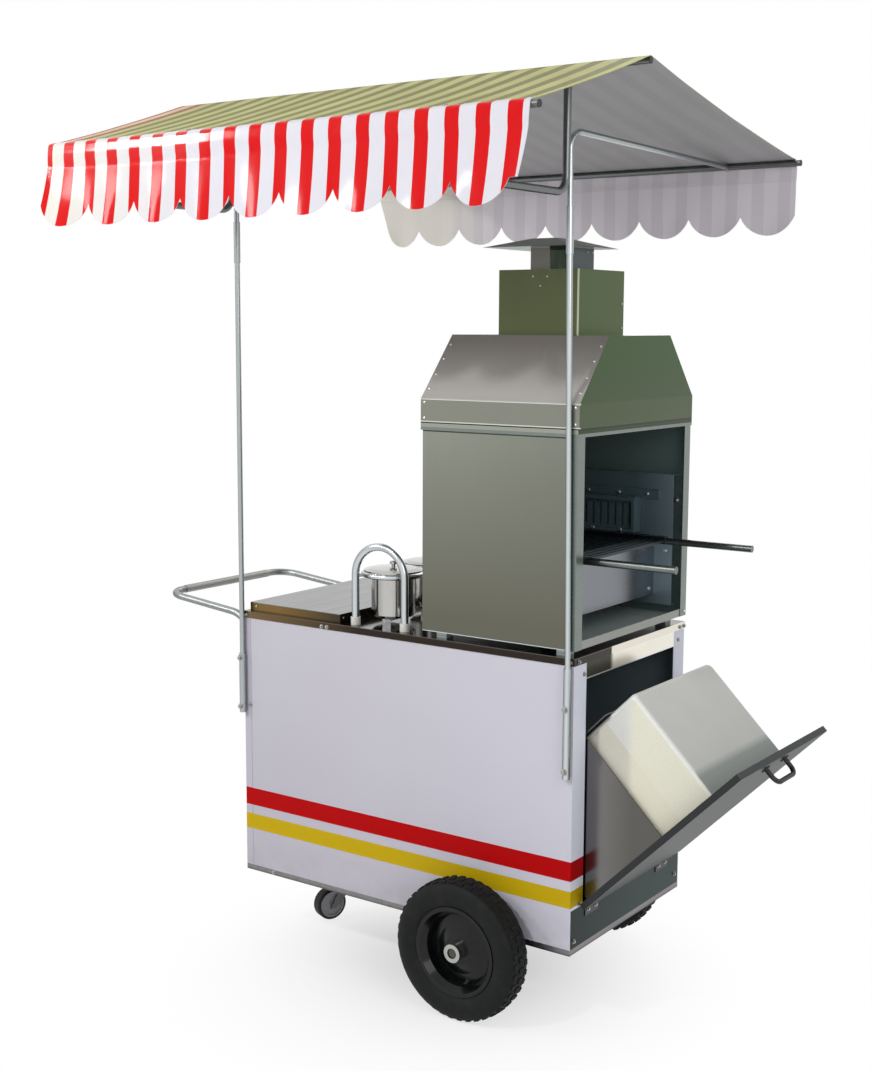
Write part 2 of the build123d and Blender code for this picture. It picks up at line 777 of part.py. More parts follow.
save("door_hinges", *fixed_side)
save("hinge_door_leaves", *door_side)
foam_in = hinge_x - foam_depth
foam_out = bin_front - 1
foam_low = bin_low + sheet
foam_top = hinge_z + foam_height
foam_seam = foam_top - foam_lid_height
foam_corner = 18
foam_edge = 12
plug_gap = 2
plug_wall = 12
plug_depth = 15
cooler = block(foam_in, foam_out, -foam_half, foam_half, foam_low, foam_seam)
cooler = fillet(cooler.edges().filter_by(Axis.Z), foam_corner)
cavity_in = foam_in + foam_wall
cavity_out = foam_out - foam_wall
cavity_half = foam_half - foam_wall
cooler -= block(cavity_in, cavity_out, -cavity_half, cavity_half, foam_low + foam_wall, foam_seam)
save("foam_cooler", on_door(cooler))
foam_lid = block(foam_in, foam_out, -foam_half, foam_half, foam_seam, foam_top)
foam_lid = fillet(foam_lid.edges().filter_by(Axis.Z), foam_corner)
foam_lid = fillet(foam_lid.faces().sort_by(Axis.Z)[-1].edges(), foam_edge)
plug_in = cavity_in + plug_gap
plug_out = cavity_out - plug_gap
plug_half = cavity_half - plug_gap
plug_low = foam_seam - plug_depth
foam_lid += block(plug_in, plug_out, -plug_half, plug_half, plug_low, foam_seam)
well_in = plug_in + plug_wall
well_out = plug_out - plug_wall
well_half = plug_half - plug_wall
foam_lid -= block(well_in, well_out, -well_half, well_half, plug_low, foam_top - foam_wall)
save("foam_lid", on_door(foam_lid))

# Push handle at the left end with its grip sleeve and saddle clips
handle_foot_x = -half_length - handle_tube / 2
handle_foot_z = 740
handle_shoulder_z = 905
handle_line = FilletPolyline(
    (handle_foot_x, -handle_half_width, handle_foot_z),
    (handle_foot_x, -handle_half_width, handle_shoulder_z),
    (handle_x, -handle_half_width, handle_z),
    (handle_x, handle_half_width, handle_z),
    (handle_foot_x, handle_half_width, handle_shoulder_z),
    (handle_foot_x, handle_half_width, handle_foot_z),
    radius=[75, 60, 60, 75],
)
save("push_handle", bent_tube(handle_line, handle_tube, tube_wall))
grip = across(handle_x, handle_z, -grip_half_length, grip_half_length, handle_tube + 2 * grip_wall)
save("handle_grip", grip - across(handle_x, handle_z, -grip_half_length, grip_half_length, handle_tube))
saddle_half = 8
tube_half = handle_tube / 2
strap_half = tube_half + sheet
saddle_wing = 26
saddles = []
for leg_y in (-handle_half_width, handle_half_width):
    for saddle_z in (760, 815):
        low = saddle_z - saddle_half
        high = saddle_z + saddle_half
        strap = upright(handle_foot_x, leg_y, low, high, 2 * strap_half)
        strap += block(handle_foot_x, -half_length, leg_y - strap_half, leg_y + strap_half, low, high)
        strap += block(-edge_x, -half_length, leg_y - saddle_wing, leg_y + saddle_wing, low, high)
        strap -= upright(handle_foot_x, leg_y, low, high, handle_tube)
        strap -= block(handle_foot_x, -half_length, leg_y - tube_half, leg_y + tube_half, low, high)
        strap -= block(-half_length, -inside_x, leg_y - strap_half, leg_y + strap_half, low, high)
        saddles.append(strap)
save("handle_saddles", *saddles)

# Canopy frame: roof tubes with plugged ends, sockets, bent posts, and bent arms coped to the roof tubes
plug_cap = 2
plug_length = 12
roof_bore = roof_tube - 2 * tube_wall
roof_lines = ((front_eave_y, eave_z), (ridge_y, ridge_z), (back_eave_y, eave_z))
roof_bars = []
end_plugs = []
for line_y, line_z in roof_lines:
    start = (roof_left + plug_cap, line_y, line_z)
    end = (roof_right - plug_cap, line_y, line_z)
    roof_bars.append(rod(start, end, roof_tube))
    for seat, inward in ((start, 1), (end, -1)):
        outside = (seat[0] - inward * plug_cap, line_y, line_z)
        inside = (seat[0] + inward * plug_length, line_y, line_z)
        end_plugs.append(rod(outside, seat, roof_tube) + rod(seat, inside, roof_bore))
bores = [rod((roof_left, y, z), (roof_right, y, z), roof_bore) for y, z in roof_lines]
save("roof_tubes", *[bar - bore for bar, bore in zip(roof_bars, bores)])
save("tube_end_plugs", *end_plugs)
rear_arm_z = 2131
kink_z = 920
meeting_z = 2060
arm_bend_y = -640
cope = 5
arm_rise = Vector(0, front_eave_y - arm_bend_y, eave_z - front_arm_z).normalized()
arm_tip = Vector(0, front_eave_y, eave_z) - arm_rise * cope
sockets = []
posts = []
arms = []
for x, lean, socket_low, socket_high in ((left_post_x, 0, 648, 812), (right_post_x, post_lean, 640, 906)):
    socket = upright(x, post_y, socket_low, socket_high, socket_tube)
    sockets.append(socket - upright(x, post_y, socket_low, socket_high, post_tube))
    post_points = [
        (x, post_y, socket_low + 4),
        (x - lean, post_y, rear_arm_z),
        (x - lean, back_eave_y - cope, eave_z),
    ]
    post_bends = [45]
    if lean:
        post_points.insert(1, (x, post_y, kink_z))
        post_bends.insert(0, 300)
    post_line = FilletPolyline(*post_points, radius=post_bends)
    posts.append(bent_tube(post_line, post_tube, tube_wall) - roof_bars[2])
    arm_x = x - lean * (meeting_z - kink_z) / (rear_arm_z - kink_z)
    arm_line = FilletPolyline(
        (arm_x, ridge_y, ridge_z - cope),
        (arm_x, ridge_y, front_arm_z),
        (arm_x, arm_bend_y, front_arm_z),
        (arm_x, arm_tip.Y, arm_tip.Z),
        radius=[40, 60],
    )
    arms.append(bent_tube(arm_line, arm_tube, tube_wall) - roof_bars[:2])
save("post_sockets", *sockets)
save("canopy_posts", *posts)
save("roof_arms", *arms)


def wrap(lines, radius):
    """Edges of a cloth face that passes outside round bars at the given centres."""
    edges = []
    normals = []
    for start, end in zip(lines, lines[1:]):
        run = hypot(end[0] - start[0], end[1] - start[1])
        normals.append((-(end[1] - start[1]) / run, (end[0] - start[0]) / run))
    last = None
    for index, (ny, nz) in enumerate(normals):
        start = lines[index]
        end = lines[index + 1]
        first = (start[0] + radius * ny, start[1] + radius * nz)
        if last is not None:
            py, pz = normals[index - 1]
            size = hypot(ny + py, nz + pz)
            middle = (start[0] + radius * (ny + py) / size, start[1] + radius * (nz + pz) / size)
            edges.append(ThreePointArc(last, middle, first))
        last = (end[0] + radius * ny, end[1] + radius * nz)
        edges.append(Line(first, last))
    return edges


def cloth_face(lines):
    """The cloth's thickness between its inner and outer face."""
    inside = wrap(lines, cloth_offset)
    outside = wrap(lines, cloth_offset + cloth)
    ends = [Line(inside[0] @ 0, outside[0] @ 0), Line(inside[-1] @ 1, outside[-1] @ 1)]
    return make_face(inside + outside + ends)


def below_scallops(drop, pitch, low_y, high_y):
    """Everything below a row of rounded lobes that hang from the eave, from its left end."""
    cusp_z = eave_z - drop * cusp_share
    lobe_z = eave_z - drop
    floor = lobe_z - pitch
    row_end = roof_left + scallops * pitch
    edges = [Line((roof_left, floor), (roof_left, cusp_z))]
    for index in range(scallops):
        left = roof_left + index * pitch
        edges.append(ThreePointArc((left, cusp_z), (left + pitch / 2, lobe_z), (left + pitch, cusp_z)))
    if row_end < roof_right:
        edges.append(Line((row_end, cusp_z), (roof_right, cusp_z)))
    edges.append(Line((roof_right, cusp_z), (roof_right, floor)))
    edges.append(Line((roof_right, floor), (roof_left, floor)))
    return Pos(0, high_y, 0) * extrude(Plane.XZ * make_face(edges), high_y - low_y)


# Canopy cloth over the roof tubes, with short hems that the valances are sewn to
roof_length = roof_right - roof_left
hem_z = eave_z - 6
hem_tilt = 0.001
roof_face = cloth_face(
    [(front_eave_y - hem_tilt, hem_z), *roof_lines, (back_eave_y + hem_tilt, hem_z)]
)
save("canopy_roof", Pos(roof_left, 0, 0) * extrude(Plane.YZ * roof_face, roof_length))

# The front valance hangs straight to its crease and flares forward below it, the back one hangs straight
spare = 4
front_in = front_eave_y - cloth_offset
front_out = front_in - cloth
crease_z = eave_z - front_drop * crease_share
flare_low = eave_z - front_drop - spare
flare_reach = flare * (crease_z - flare_low) / (front_drop * (1 - crease_share))
front_outline = Polyline(
    (front_out, hem_z),
    (front_in, hem_z),
    (front_in, crease_z),
    (front_in - flare_reach, flare_low),
    (front_out - flare_reach, flare_low),
    (front_out, crease_z),
    close=True,
)
front_valance = Pos(roof_left, 0, 0) * extrude(Plane.YZ * make_face(front_outline), roof_length)
front_cut = below_scallops(front_drop, front_pitch, front_out - 2 * flare, front_in + spare)
save("front_valance", front_valance - front_cut)
back_in = back_eave_y + cloth_offset
back_out = back_in + cloth
back_valance = block(roof_left, roof_right, back_in, back_out, eave_z - back_drop - spare, hem_z)
back_cut = below_scallops(back_drop, roof_length / scallops, back_in - spare, back_out + spare)
save("back_valance", back_valance - back_cut)
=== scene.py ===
import random
from math import atan2, cos, hypot, pi, radians, sin, sqrt

import bpy
from mathutils import Matrix, Vector


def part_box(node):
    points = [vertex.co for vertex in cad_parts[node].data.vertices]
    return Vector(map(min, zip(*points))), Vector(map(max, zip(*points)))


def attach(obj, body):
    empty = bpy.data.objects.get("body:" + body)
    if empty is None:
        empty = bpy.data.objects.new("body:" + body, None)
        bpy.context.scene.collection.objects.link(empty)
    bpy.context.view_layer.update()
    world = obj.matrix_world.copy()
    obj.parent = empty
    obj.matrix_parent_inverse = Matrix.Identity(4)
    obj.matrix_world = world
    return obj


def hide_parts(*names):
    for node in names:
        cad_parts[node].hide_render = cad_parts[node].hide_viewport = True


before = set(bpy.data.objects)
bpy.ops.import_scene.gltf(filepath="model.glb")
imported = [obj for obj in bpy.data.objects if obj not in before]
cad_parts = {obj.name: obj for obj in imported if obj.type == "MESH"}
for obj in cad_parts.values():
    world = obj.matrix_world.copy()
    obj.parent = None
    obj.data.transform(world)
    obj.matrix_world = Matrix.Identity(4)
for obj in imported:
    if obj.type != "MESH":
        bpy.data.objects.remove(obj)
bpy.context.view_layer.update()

# The view: a camera at a standing person's eye height, turned to the front and the door end.
# The long side of the picture takes the whole sensor.
frame_low, frame_high = (Vector(corner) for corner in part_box("base_frame"))
body_middle = (frame_low + frame_high) / 2


def spot(x, y, z):
    """A place from millimetres off the middle of the cart's body, and up from the floor."""
    return Vector((body_middle.x + x / 1000, body_middle.y + y / 1000, z / 1000))


camera = bpy.data.objects.new("camera", bpy.data.cameras.new("camera"))
camera.data.lens = 51.37
camera.data.sensor_width = 36
camera.location = spot(2268, -3322, 1698)
camera.rotation_euler = (radians(82.16), radians(-0.23), radians(35.31))
bpy.context.scene.collection.objects.link(camera)
bpy.context.scene.camera = camera
bpy.context.scene.view_settings.view_transform = "Standard"


# The studio: an even white room. Four soft lamps give the cart its modelling,
# and what the camera and shiny metal see of the room is plain white.
def lamp(name, place, size, power):
    """A square soft lamp that faces the middle of the cart."""
    light = bpy.data.lights.new(name, "AREA")
    light.size = size
    light.energy = power
    holder = bpy.data.objects.new(name, light)
    holder.location = place
    holder.rotation_euler = (Vector((0, 0.1, 1.1)) - Vector(place)).to_track_quat("-Z", "Y").to_euler()
    bpy.context.scene.collection.objects.link(holder)


def seen_directly(tree):
    """Is 1 for the rays of the camera, of reflections and of clear materials."""
    path = tree.nodes.new("ShaderNodeLightPath")
    either = tree.nodes.new("ShaderNodeMath")
    either.operation = "MAXIMUM"
    tree.links.new(path.outputs["Is Camera Ray"], either.inputs[0])
    tree.links.new(path.outputs["Is Glossy Ray"], either.inputs[1])
    any_of = tree.nodes.new("ShaderNodeMath")
    any_of.operation = "MAXIMUM"
    tree.links.new(either.outputs[0], any_of.inputs[0])
    tree.links.new(path.outputs["Is Transmission Ray"], any_of.inputs[1])
    return any_of.outputs[0]


lamp("lamp_front", (-0.9, -4.4, 4.4), 0.3, 104)
lamp("lamp_right", (4.0, -2.2, 3.0), 2.4, 40)
lamp("lamp_left", (-3.2, -3.3, 3.2), 0.6, 52)
lamp("lamp_back", (-0.6, 4.2, 3.4), 2.6, 50)
room = bpy.data.worlds.new("room")
bpy.context.scene.world = room
room.use_nodes = True
room_light = room.node_tree.nodes["Background"]
room_light.inputs["Color"].default_value = (1, 1, 1, 1)
brightness = room.node_tree.nodes.new("ShaderNodeMapRange")
brightness.inputs["To Min"].default_value = 0.4
brightness.inputs["To Max"].default_value = 1.0
room.node_tree.links.new(seen_directly(room.node_tree), brightness.inputs["Value"])
room.node_tree.links.new(brightness.outputs["Result"], room_light.inputs["Strength"])

# The floor: a pale sheet that keeps the cart's shadow close to it and is plain white further off.
bpy.ops.object.select_all(action="DESELECT")
bpy.ops.mesh.primitive_plane_add(size=40)
floor = bpy.context.object
floor.name = "floor"
pale = bpy.data.materials.new("pale_floor")
pale.use_nodes = True
pale_nodes = pale.node_tree.nodes
pale_links = pale.node_tree.links
pale_nodes["Principled BSDF"].inputs["Base Color"].default_value = (0.94, 0.94, 0.94, 1)
pale_nodes["Principled BSDF"].inputs["Roughness"].default_value = 0.9
white = pale_nodes.new("ShaderNodeEmission")
floor_place = pale_nodes.new("ShaderNodeTexCoord")
distance = pale_nodes.new("ShaderNodeVectorMath")
distance.operation = "LENGTH"
fade = pale_nodes.new("ShaderNodeMapRange")
fade.interpolation_type = "SMOOTHSTEP"
fade.inputs["From Min"].default_value = -0.5
fade.inputs["From Max"].default_value = 0.85
share = pale_nodes.new("ShaderNodeMath")
share.operation = "MULTIPLY"
blend = pale_nodes.new("ShaderNodeMixShader")
pale_links.new(floor_place.outputs["Object"], distance.inputs[0])
pale_links.new(distance.outputs["Value"], fade.inputs["Value"])
pale_links.new(fade.outputs["Result"], share.inputs[0])
pale_links.new(seen_directly(pale.node_tree), share.inputs[1])
pale_links.new(share.outputs[0], blend.inputs["Fac"])
pale_links.new(pale_nodes["Principled BSDF"].outputs[0], blend.inputs[1])
pale_links.new(white.outputs[0], blend.inputs[2])
pale_links.new(blend.outputs[0], pale_nodes["Material Output"].inputs["Surface"])
floor.data.materials.append(pale)


# Base frame and floor: rails of galvanised steel with the crystal flakes of hot-dip zinc,
# welded into a ring, and the corner angles that the panels are riveted to.
def tone(red, green, blue):
    """A colour from its 0 to 255 values on a screen."""
    shares = [value / 255 for value in (red, green, blue)]
    return tuple(s / 12.92 if s <= 0.04045 else ((s + 0.055) / 1.055) ** 2.4 for s in shares)


class Finish:
    """A procedural material on the piece's own coordinates."""

    def __init__(self, name, colour, roughness, metallic=0.0, gloss=0.5):
        self.material = bpy.data.materials.new(name)
        self.material.use_nodes = True
        self.tree = self.material.node_tree
        self.shader = self.tree.nodes["Principled BSDF"]
        self.tint = colour
        self.shader.inputs["Base Color"].default_value = (*colour, 1)
        self.shader.inputs["Roughness"].default_value = roughness
        self.shader.inputs["Metallic"].default_value = metallic
        self.shader.inputs["Specular IOR Level"].default_value = gloss
        self.place = self.add("ShaderNodeTexCoord").outputs["Object"]

    def add(self, kind):
        return self.tree.nodes.new(kind)

    def feed(self, value, socket):
        """Links an output to a socket, or sets a plain number or colour on it."""
        if isinstance(value, bpy.types.NodeSocket):
            self.tree.links.new(value, socket)
        elif isinstance(value, tuple):
            socket.default_value = (*value, 1) if len(value) == 3 and socket.type == "RGBA" else value
        else:
            socket.default_value = value

    def stretched(self, stretch):
        mapping = self.add("ShaderNodeMapping")
        self.feed(self.place, mapping.inputs["Vector"])
        self.feed(stretch, mapping.inputs["Scale"])
        return mapping.outputs["Vector"]

    def noise(self, scale, stretch=(1, 1, 1), detail=3):
        """Cloudy values about 0.5."""
        texture = self.add("ShaderNodeTexNoise")
        self.feed(self.stretched(stretch), texture.inputs["Vector"])
        self.feed(scale, texture.inputs["Scale"])
        self.feed(detail, texture.inputs["Detail"])
        return texture.outputs["Fac"]

    def cells(self, scale, edge=False):
        """A random value for each cell, or the distance from the cell's middle."""
        texture = self.add("ShaderNodeTexVoronoi")
        self.feed(self.place, texture.inputs["Vector"])
        self.feed(scale, texture.inputs["Scale"])
        if edge:
            return texture.outputs["Distance"]
        parts = self.add("ShaderNodeSeparateColor")
        self.feed(texture.outputs["Color"], parts.inputs["Color"])
        return parts.outputs["Red"]

    def axis(self, name):
        parts = self.add("ShaderNodeSeparateXYZ")
        self.feed(self.place, parts.inputs["Vector"])
        return parts.outputs[name]

    def facing(self, name):
        """How far the surface faces along an axis, from -1 to 1."""
        parts = self.add("ShaderNodeSeparateXYZ")
        self.feed(self.add("ShaderNodeTexCoord").outputs["Normal"], parts.inputs["Vector"])
        return parts.outputs[name]

    def sum(self, operation, first, second=0.0, third=0.0):
        node = self.add("ShaderNodeMath")
        node.operation = operation
        for value, socket in zip((first, second, third), node.inputs):
            self.feed(value, socket)
        return node.outputs[0]

    def past(self, name, limit):
        """Is 1 beyond a place on an axis."""
        return self.sum("GREATER_THAN", self.axis(name), limit)

    def off(self, name, middle, reach):
        """Is 1 further than a reach from a place on an axis."""
        return self.sum("SUBTRACT", 1.0, self.sum("COMPARE", self.axis(name), middle, reach))

    def spread(self, value, low, high, source=(0.0, 1.0)):
        """Moves values from one range to another."""
        node = self.add("ShaderNodeMapRange")
        self.feed(value, node.inputs["Value"])
        self.feed(source[0], node.inputs["From Min"])
        self.feed(source[1], node.inputs["From Max"])
        self.feed(low, node.inputs["To Min"])
        self.feed(high, node.inputs["To Max"])
        return node.outputs["Result"]

    def mix(self, share, first, second):
        """A colour between two, by share."""
        node = self.add("ShaderNodeMix")
        node.data_type = "RGBA"
        self.feed(share, node.inputs[0])
        self.feed(first, node.inputs[6])
        self.feed(second, node.inputs[7])
        return node.outputs[2]

    def colour(self, value):
        self.tint = value
        self.feed(value, self.shader.inputs["Base Color"])

    def tinge(self, share, colour):
        """Lays another colour over the finish by a share."""
        self.colour(self.mix(share, self.tint, colour))

    def grade(self, name, span, first, last):
        """A colour that goes from one to another along a span of an axis."""
        return self.mix(self.spread(self.axis(name), 0, 1, span), first, last)

    def wash(self, name, span, first, last, colour):
        """Lays a colour over the finish by a share that changes along a span of an axis."""
        self.tinge(self.spread(self.axis(name), first, last, span), colour)

    def rough(self, value):
        self.feed(value, self.shader.inputs["Roughness"])

    def metal(self, value):
        self.feed(value, self.shader.inputs["Metallic"])

    def bump(self, value, depth, strength=1.0):
        node = self.add("ShaderNodeBump")
        self.feed(value, node.inputs["Height"])
        self.feed(depth, node.inputs["Distance"])
        self.feed(strength, node.inputs["Strength"])
        self.feed(node.outputs["Normal"], self.shader.inputs["Normal"])


def darker(colour, share):
    return tuple(value * share for value in colour)


def galvanised(name, colour, flake=110, roughness=0.36, contrast=0.1):
    """Zinc-dipped steel: crystal flakes that differ a little in tone and gloss, and dull clouds."""
    finish = Finish(name, colour, roughness, metallic=1.0)
    flakes = finish.cells(flake)
    clouds = finish.noise(7)
    finish.colour(finish.mix(flakes, darker(colour, 1 - contrast), darker(colour, 1 + contrast)))
    finish.tinge(finish.spread(clouds, 0.0, 0.7, (0.5, 0.75)), darker(colour, 0.84))
    finish.rough(finish.spread(flakes, roughness - 0.04, roughness + 0.06))
    finish.bump(finish.noise(240), 0.0001)
    return finish


def coat(finish, *names):
    """Gives CAD pieces their finish."""
    for name in names:
        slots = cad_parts[name].data.materials
        slots.clear()
        slots.append(finish.material)


rail_finish = galvanised("galvanised_rail", tone(132, 130, 130))
rail_foot = (0.2, 0.207)
rail_finish.wash("Z", rail_foot, 0.6, 0, tone(60, 60, 60))
coat(rail_finish, "base_frame", "floor_panel", "corner_angles")

# Axle and hangers: black painted hanger plates welded under the rails, and a bright turned axle
# with its collars in the hubs.
hanger_paint = Finish("hanger_paint", tone(38, 39, 40), 0.5)
hanger_chips = hanger_paint.noise(90, detail=6)
hanger_paint.tinge(hanger_paint.spread(hanger_chips, 0, 1, (0.62, 0.68)), tone(96, 84, 74))
hanger_paint.bump(hanger_chips, 0.0002)
coat(hanger_paint, "axle_hangers")


def plated(name, colour, roughness=0.28, stain=0.3, scratch=400):
    """Zinc plated steel: bright, with fine scratches and faint stains."""
    finish = Finish(name, colour, roughness, metallic=1.0)
    finish.tinge(finish.spread(finish.noise(40, detail=4), 0, stain, (0.45, 0.75)), darker(colour, 0.68))
    finish.rough(finish.spread(finish.noise(scratch, (1, 1, 6)), roughness - 0.04, roughness + 0.08))
    finish.bump(finish.noise(900, (1, 1, 4)), 0.00001)
    return finish


zinc = plated("zinc_plate", tone(178, 178, 174))
coat(plated("axle_steel", tone(84, 84, 80), 0.3), "axle")

# Road wheels: moulded rubber tyres with a knobbly tread on pressed rims in gloss black enamel.
# The hub is a plated tube, welded through the rim.
rubber = Finish("tyre_rubber", tone(19, 21, 21), 0.66, gloss=0.2)
rubber_dust = rubber.noise(26, detail=6)
rubber.tinge(rubber.spread(rubber_dust, 0, 0.5, (0.5, 0.78)), tone(52, 48, 42))
rubber.rough(rubber.spread(rubber_dust, 0.56, 0.84))
rubber.bump(rubber.noise(420, detail=4), 0.0004)
coat(rubber, "near_tyre", "far_tyre")

enamel = Finish("rim_enamel", tone(6, 8, 8), 0.16, gloss=0.2)
enamel.shader.inputs["Coat Weight"].default_value = 0.2
enamel.shader.inputs["Coat Roughness"].default_value = 0.06
enamel_dust = enamel.noise(45, detail=5)
enamel.tinge(enamel.spread(enamel_dust, 0, 0.25, (0.5, 0.8)), tone(42, 42, 40))
enamel.rough(enamel.spread(enamel_dust, 0.1, 0.3))
enamel.bump(enamel.noise(160), 0.0001)
coat(enamel, "near_rim", "far_rim")
coat(zinc, "near_hub", "far_hub")

# Caster: a galvanised drop leg and plate, a plated fork, and a wheel with a black tyre
# moulded on a pale plastic centre.
coat(galvanised("galvanised_caster", tone(116, 118, 118)), "caster_mount")
coat(plated("fork_plate", tone(96, 96, 98), 0.34), "caster_fork")
caster = Finish("caster_wheel", tone(30, 31, 31), 0.6, gloss=0.25)
caster_low, caster_high = (Vector(corner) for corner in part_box("caster_wheel"))
caster_middle = (caster_low + caster_high) / 2
from_axle = caster.add("ShaderNodeVectorMath")
from_axle.operation = "DISTANCE"
caster.feed(caster.place, from_axle.inputs[0])
caster.feed(tuple(caster_middle), from_axle.inputs[1])
caster_radius = from_axle.outputs["Value"]
caster_dirt = caster.noise(120, detail=4)
caster_black = caster.mix(caster.spread(caster_dirt, 0, 0.5), tone(24, 25, 25), tone(58, 55, 51))
caster_pale = caster.mix(caster.spread(caster_dirt, 0, 0.5), tone(186, 184, 190), tone(138, 134, 132))
tread_start = 0.0405
caster.colour(caster.mix(caster.sum("GREATER_THAN", caster_radius, tread_start), caster_pale, caster_black))
caster.bump(caster_dirt, 0.0002)
coat(caster, "caster_wheel")

# Cabinet: folded sheet panels in a cool white satin paint, with a red and a yellow stripe of vinyl film
# that wraps round the corners. The inside faces are painted a teal grey, a painted shade, and the end below
# the door is bare rolled steel.
red_stripe = (0.3864, 0.4347)
yellow_stripe = (0.3188, 0.3615)
inner_half_depth = 0.2862
inner_half_length = 0.5162
paint = Finish("white_panel", tone(200, 198, 207), 0.34, gloss=0.06)
height = paint.axis("Z")
haze = paint.noise(2.5, detail=2)
paint.tinge(paint.spread(haze, 0, 0.8, (0.35, 0.7)), tone(195, 192, 202))
# The white paint is painted darker toward the bottom and the left end and lighter toward the right end:
# painted shade and light.
shaded_lower_part = (0.3, 0.8)
shaded_left_part = (spot(-520, 0, 0).x, spot(-60, 0, 0).x)
lit_right_part = (spot(20, 0, 0).x, spot(500, 0, 0).x)
paint.wash("Z", shaded_lower_part, 0.8, 0, tone(187, 184, 195))
paint.wash("X", shaded_left_part, 0.4, 0, tone(180, 178, 187))
paint.wash("X", lit_right_part, 0, 0.5, tone(212, 211, 224))
# Painted shadow of the left canopy post: everything left of the strip beside the post is painted darker, the
# whole left end panel included.
post_shadow_strip = paint.sum("LESS_THAN", paint.axis("X"), spot(-495, 0, 0).x)
paint.tinge(paint.sum("MULTIPLY", post_shadow_strip, 0.7), tone(188, 184, 196))
edge_line = paint.sum("COMPARE", paint.axis("X"), spot(-494, 0, 0).x, 0.0012)
paint.tinge(paint.sum("MULTIPLY", edge_line, 0.8), tone(150, 146, 156))
# Faces that turn to the right end are painted a brighter bluish white: painted light.
paint.tinge(paint.sum("GREATER_THAN", paint.facing("X"), 0.9), tone(238, 241, 255))
splash_heights = (0.215, 0.31)
splash = paint.spread(height, 0.55, 0, splash_heights)
splash = paint.sum("MULTIPLY", splash, paint.spread(paint.noise(16, detail=5), 0, 1, (0.4, 0.7)))
paint.tinge(splash, tone(168, 163, 167))
for stripe, film in ((red_stripe, tone(178, 3, 6)), (yellow_stripe, tone(195, 165, 18))):
    middle = (stripe[0] + stripe[1]) / 2
    paint.tinge(paint.sum("COMPARE", height, middle, (stripe[1] - stripe[0]) / 2), film)
# Faces inside the cabinet are painted a teal grey: painted shade.
past_ends = paint.off("X", body_middle.x, inner_half_length)
outside = paint.sum("MAXIMUM", paint.off("Y", body_middle.y, inner_half_depth), past_ends)
paint.tinge(paint.sum("SUBTRACT", 1.0, outside), tone(132, 148, 156))
paint.rough(paint.spread(haze, 0.28, 0.42))
paint.bump(paint.noise(420, detail=2), 0.00006)
coat(paint, "front_panel", "rear_panel", "left_end_panel")


def rolled(name, colour, roughness, grain=(2, 260, 260), contrast=0.07):
    """Bare rolled sheet: a long fine grain, soft clouds and a few smears."""
    finish = Finish(name, colour, roughness, metallic=1.0)
    lines = finish.noise(1.0, grain, detail=3)
    clouds = finish.noise(3.2, detail=3)
    smears = finish.noise(11, (1, 1, 0.35), detail=5)
    finish.colour(finish.mix(clouds, darker(colour, 1 - contrast), darker(colour, 1 + contrast)))
    finish.tinge(finish.spread(smears, 0, 0.4, (0.55, 0.8)), darker(colour, 0.86))
    finish.rough(finish.spread(lines, roughness - 0.06, roughness + 0.08))
    finish.bump(lines, 0.00003)
    return finish


# The lower end sheet is painted a dark teal that deepens toward the front: painted shade.
end_sheet = rolled("end_sheet", tone(36, 52, 52), 0.3)
shaded_near_part = (spot(0, -260, 0).y, spot(0, 60, 0).y)
end_sheet.wash("Y", shaded_near_part, 0.8, 0, tone(24, 31, 31))
coat(end_sheet, "end_lower_panel")
# The lintel is painted bright cream, with a dark olive front part and a pale face below its fold: painted
# reflections.
lintel = rolled("lintel_sheet", tone(238, 232, 220), 0.2)
lintel_reflection_span = (spot(0, -112, 0).y, spot(0, -96, 0).y)
lintel_fold = 0.8728
lintel.wash("Y", lintel_reflection_span, 1, 0, tone(62, 63, 50))
lintel.tinge(lintel.sum("LESS_THAN", lintel.axis("Z"), lintel_fold), tone(226, 226, 230))
coat(lintel, "door_lintel")

# Worktop: one polished sheet with a folded rim and a pressed basin hung in it, under a lift-off lid
# of satin sheet. The folded edges carry painted reflections, brown toward the left and dark toward the
# right.
top_sheet = rolled("polished_top", tone(98, 94, 90), 0.1, contrast=0.12)
rim_fold = 0.9262
rim_span = (spot(-520, 0, 0).x, spot(-120, 0, 0).x)
# The rim is painted brown toward the left and dark toward the right: a painted reflection.
rim_reflection = top_sheet.grade("X", rim_span, tone(122, 100, 68), tone(54, 47, 42))
top_sheet.tinge(top_sheet.sum("LESS_THAN", top_sheet.axis("Z"), rim_fold), rim_reflection)
# The right end of the rim is painted bright cream: a painted reflection.
rim_end = top_sheet.past("X", spot(518, 0, 0).x)
rim_end_reflection = top_sheet.sum("MULTIPLY", rim_end, top_sheet.past("Y", spot(0, -110, 0).y))
top_sheet.tinge(rim_end_reflection, tone(226, 220, 208))
coat(top_sheet, "worktop")
coat(rolled("basin_sheet", tone(160, 158, 154), 0.28), "basin")
lid_sheet = rolled("lid_sheet", tone(127, 128, 128), 0.24, (40, 2, 40), 0.06)
lid_fold = 0.9505
# The lid's folded edge is painted brown toward the left and dark toward the right: a painted reflection.
lid_span = (spot(-400, 0, 0).x, spot(-200, 0, 0).x)
lid_reflection = lid_sheet.grade("X", lid_span, tone(126, 102, 60), tone(72, 62, 52))
lid_sheet.tinge(lid_sheet.sum("LESS_THAN", lid_sheet.axis("Z"), lid_fold), lid_reflection)
coat(lid_sheet, "basin_lid")


